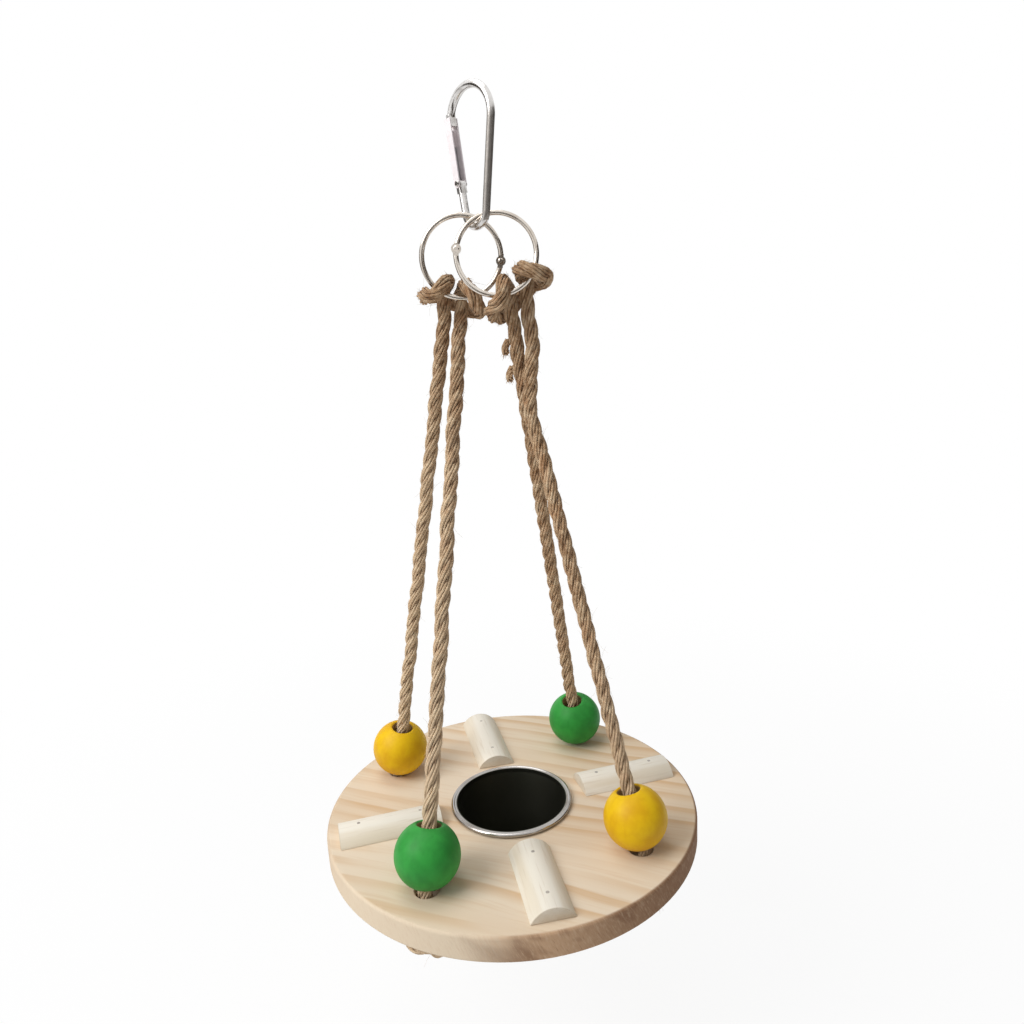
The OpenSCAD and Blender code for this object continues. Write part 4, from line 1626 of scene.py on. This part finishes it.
@dataclass
class Studio:
    """Soft light from the left, a white floor and backdrop, and screens that only metal reflects."""

    floor_drop: float = 0.1
    floor_half: float = 6.0
    world_light: float = 0.32
    shadow_share: float = 0.09
    shadow_near: float = 0.2
    shadow_far: float = 0.7
    aim_z: float = -0.22
    screen_r: float = 1.3
    screen_low: float = -0.42
    screen_steps: int = 16
    card_drop: float = 0.08
    grey: Colour = (0.15, 0.135, 0.12)
    brown: Colour = (0.03, 0.02, 0.013)

    def build(self, low_z: float) -> None:
        """Makes the world, the floor, the lamps and the screens.

        Args:
            low_z: The lowest point of the swing.
        """
        self._world()
        self._floor(low_z - self.floor_drop)
        self._lamp("key", place=(-1.08, -0.52, 0.75), size=0.9, power=17.5)
        self._lamp("top", place=(-0.3, 0.25, 1.2), size=0.9, power=7.0)
        self._screen("screen_front", start=252.0, sweep=50.0, high=0.3, tint=self.grey)
        self._screen("screen_right", start=310.0, sweep=80.0, high=0.45, tint=self.brown)
        self._screen("screen_back", start=35.0, sweep=40.0, high=0.3, tint=self.grey)
        self._screen("screen_left", start=140.0, sweep=42.0, high=0.3, tint=self.brown)
        low = (0.0, -0.75, low_z - self.card_drop)
        self._low_card("card_low", place=low, size=(1.6, 0.6), tint=self.brown)

    def _world(self) -> None:
        """A plain world that looks white and lights softly."""
        world = bpy.data.worlds.new("studio")
        bpy.context.scene.world = world
        bench = Bench("studio", world)
        path = bench.node("ShaderNodeLightPath", {}, {})
        camera, glossy, clear = (
            Signal(bench, path.outputs[f"Is {ray} Ray"]) for ray in ("Camera", "Glossy", "Transmission")
        )
        seen = bench.maths("MAXIMUM", camera, bench.maths("MAXIMUM", glossy, clear))
        light = seen * (1.0 - self.world_light) + self.world_light
        shine = bench.node("ShaderNodeBackground", {}, {"Color": (1.0, 1.0, 1.0), "Strength": light})
        bench.node("ShaderNodeOutputWorld", {}, {"Surface": Signal(bench, shine.outputs[0])})

    def _floor(self, height: float) -> None:
        """A wide pale floor that keeps a faint shadow below the swing.

        Args:
            height: Its height.
        """
        bench = Bench("floor_white")
        path = bench.node("ShaderNodeLightPath", {}, {})
        x, y, _ = bench.axes(bench.place())
        near = 1.0 - (x * x + y * y).root().step(self.shadow_near, self.shadow_far)
        matt = bench.node("ShaderNodeBsdfDiffuse", {}, {"Color": (0.9, 0.9, 0.9)})
        white = bench.node("ShaderNodeEmission", {}, {"Color": (1.0, 1.0, 1.0), "Strength": 1.0})
        seen = Signal(bench, path.outputs["Is Camera Ray"]) + Signal(bench, path.outputs["Is Glossy Ray"])
        share = seen.step(0.0, 1.0) * (1.0 - self.shadow_share * near)
        feeds = {0: share, 1: Signal(bench, matt.outputs[0]), 2: Signal(bench, white.outputs[0])}
        mixed = bench.node("ShaderNodeMixShader", {}, feeds)
        mesh = bmesh.new()
        bmesh.ops.create_grid(mesh, x_segments=1, y_segments=1, size=self.floor_half)
        bmesh.ops.translate(mesh, vec=(0.0, 0.0, height), verts=mesh.verts)
        floor = placed(fold_in(mesh, "floor"), bench.ended(Signal(bench, mixed.outputs[0])))
        floor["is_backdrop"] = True

    def _lamp(self, name: str, place: Spot, size: float, power: float) -> None:
        """A square soft lamp that faces the swing.

        Args:
            name: The lamp's name.
            place: Where it stands.
            size: Its side.
            power: Its power in watts.
        """
        data = bpy.data.lights.new(name, "AREA")
        data.size = size
        data.energy = power
        lamp = bpy.data.objects.new(name, data)
        lamp.location = place
        aim = Vector((0.0, 0.0, self.aim_z)) - Vector(place)
        lamp.rotation_euler = aim.to_track_quat("-Z", "Y").to_euler()
        bpy.context.scene.collection.objects.link(lamp)

    def _screen(self, name: str, start: float, sweep: float, high: float, tint: Colour) -> None:
        """An upright curved screen round the swing.

        Args:
            name: Its name.
            start: Where it starts, in degrees about +Z from +X.
            sweep: How far it goes, in degrees.
            high: Height of its top.
            tint: Its colour.
        """
        mesh = bmesh.new()
        ends = [mesh.verts.new(polar(self.screen_r, start, z)) for z in (self.screen_low, high)]
        edge = mesh.edges.new(ends)
        bmesh.ops.spin(
            mesh, geom=ends + [edge], cent=(0, 0, 0), axis=(0, 0, 1),
            angle=math.radians(sweep), steps=self.screen_steps,
        )
        self._shown_in_metal(mesh, name, tint)

    def _low_card(self, name: str, place: Spot, size: tuple[float, float], tint: Colour) -> None:
        """A card that lies below the swing.

        Args:
            name: Its name.
            place: Its middle.
            size: Its width and depth.
            tint: Its colour.
        """
        mesh = bmesh.new()
        bmesh.ops.create_grid(mesh, x_segments=1, y_segments=1, size=0.5)
        bmesh.ops.scale(mesh, vec=(*size, 1.0), verts=mesh.verts)
        bmesh.ops.translate(mesh, vec=place, verts=mesh.verts)
        self._shown_in_metal(mesh, name, tint)

    def _shown_in_metal(self, mesh: bmesh.types.BMesh, name: str, tint: Colour) -> None:
        """Puts a mesh in the scene that shows only in reflections.

        Args:
            mesh: The mesh.
            name: Its name.
            tint: Its colour.
        """
        bench = Bench(name)
        glow = bench.node("ShaderNodeEmission", {}, {"Color": tint, "Strength": 1.0})
        card = placed(fold_in(mesh, name), bench.ended(Signal(bench, glow.outputs[0])))
        card.visible_camera = False
        card.visible_diffuse = False
        card.visible_shadow = False
        card.visible_transmission = False
        card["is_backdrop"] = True


def main() -> None:
    """Builds the view, the ropes, the tray, the hangers and the studio."""
    logging.basicConfig(level=logging.INFO, format="%(name)s: %(message)s")
    bpy.context.scene.view_settings.view_transform = "Standard"
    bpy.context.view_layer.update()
    board_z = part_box("board")[1].z
    Viewpoint().build(board_z)
    routes = RopeRoutes()
    jute = Jute().material()
    fibre = Jute(name="jute_fibre", pale=(0.78, 0.66, 0.49), mid=(0.66, 0.53, 0.37), dark=(0.5, 0.37, 0.24))
    fuzz = fibre.material()
    JuteRope(Side.LEFT, jute, fuzz, seed=7).build(routes)
    JuteRope(Side.RIGHT, jute, fuzz, seed=19).build(routes)
    CutEnds(jute).build(routes)
    green = BeadDye("green_dye", (0.035, 0.33, 0.05), (0.022, 0.215, 0.033)).material()
    yellow = BeadDye("yellow_dye", (0.84, 0.525, 0.005), (0.70, 0.365, 0.003)).material()
    TurnedBead(Corner.FRONT_LEFT, "bead_fl", "green_paint", green).build(routes)
    TurnedBead(Corner.BACK_LEFT, "bead_bl", "yellow_paint", yellow).build(routes)
    TurnedBead(Corner.FRONT_RIGHT, "bead_fr", "yellow_paint", yellow).build(routes)
    TurnedBead(Corner.BACK_RIGHT, "bead_br", "green_paint", green).build(routes)
    Tray().build(board_z)
    Hangers().build()
    low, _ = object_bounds()
    Studio().build(low.z)


if __name__ == "__main__":
    main()
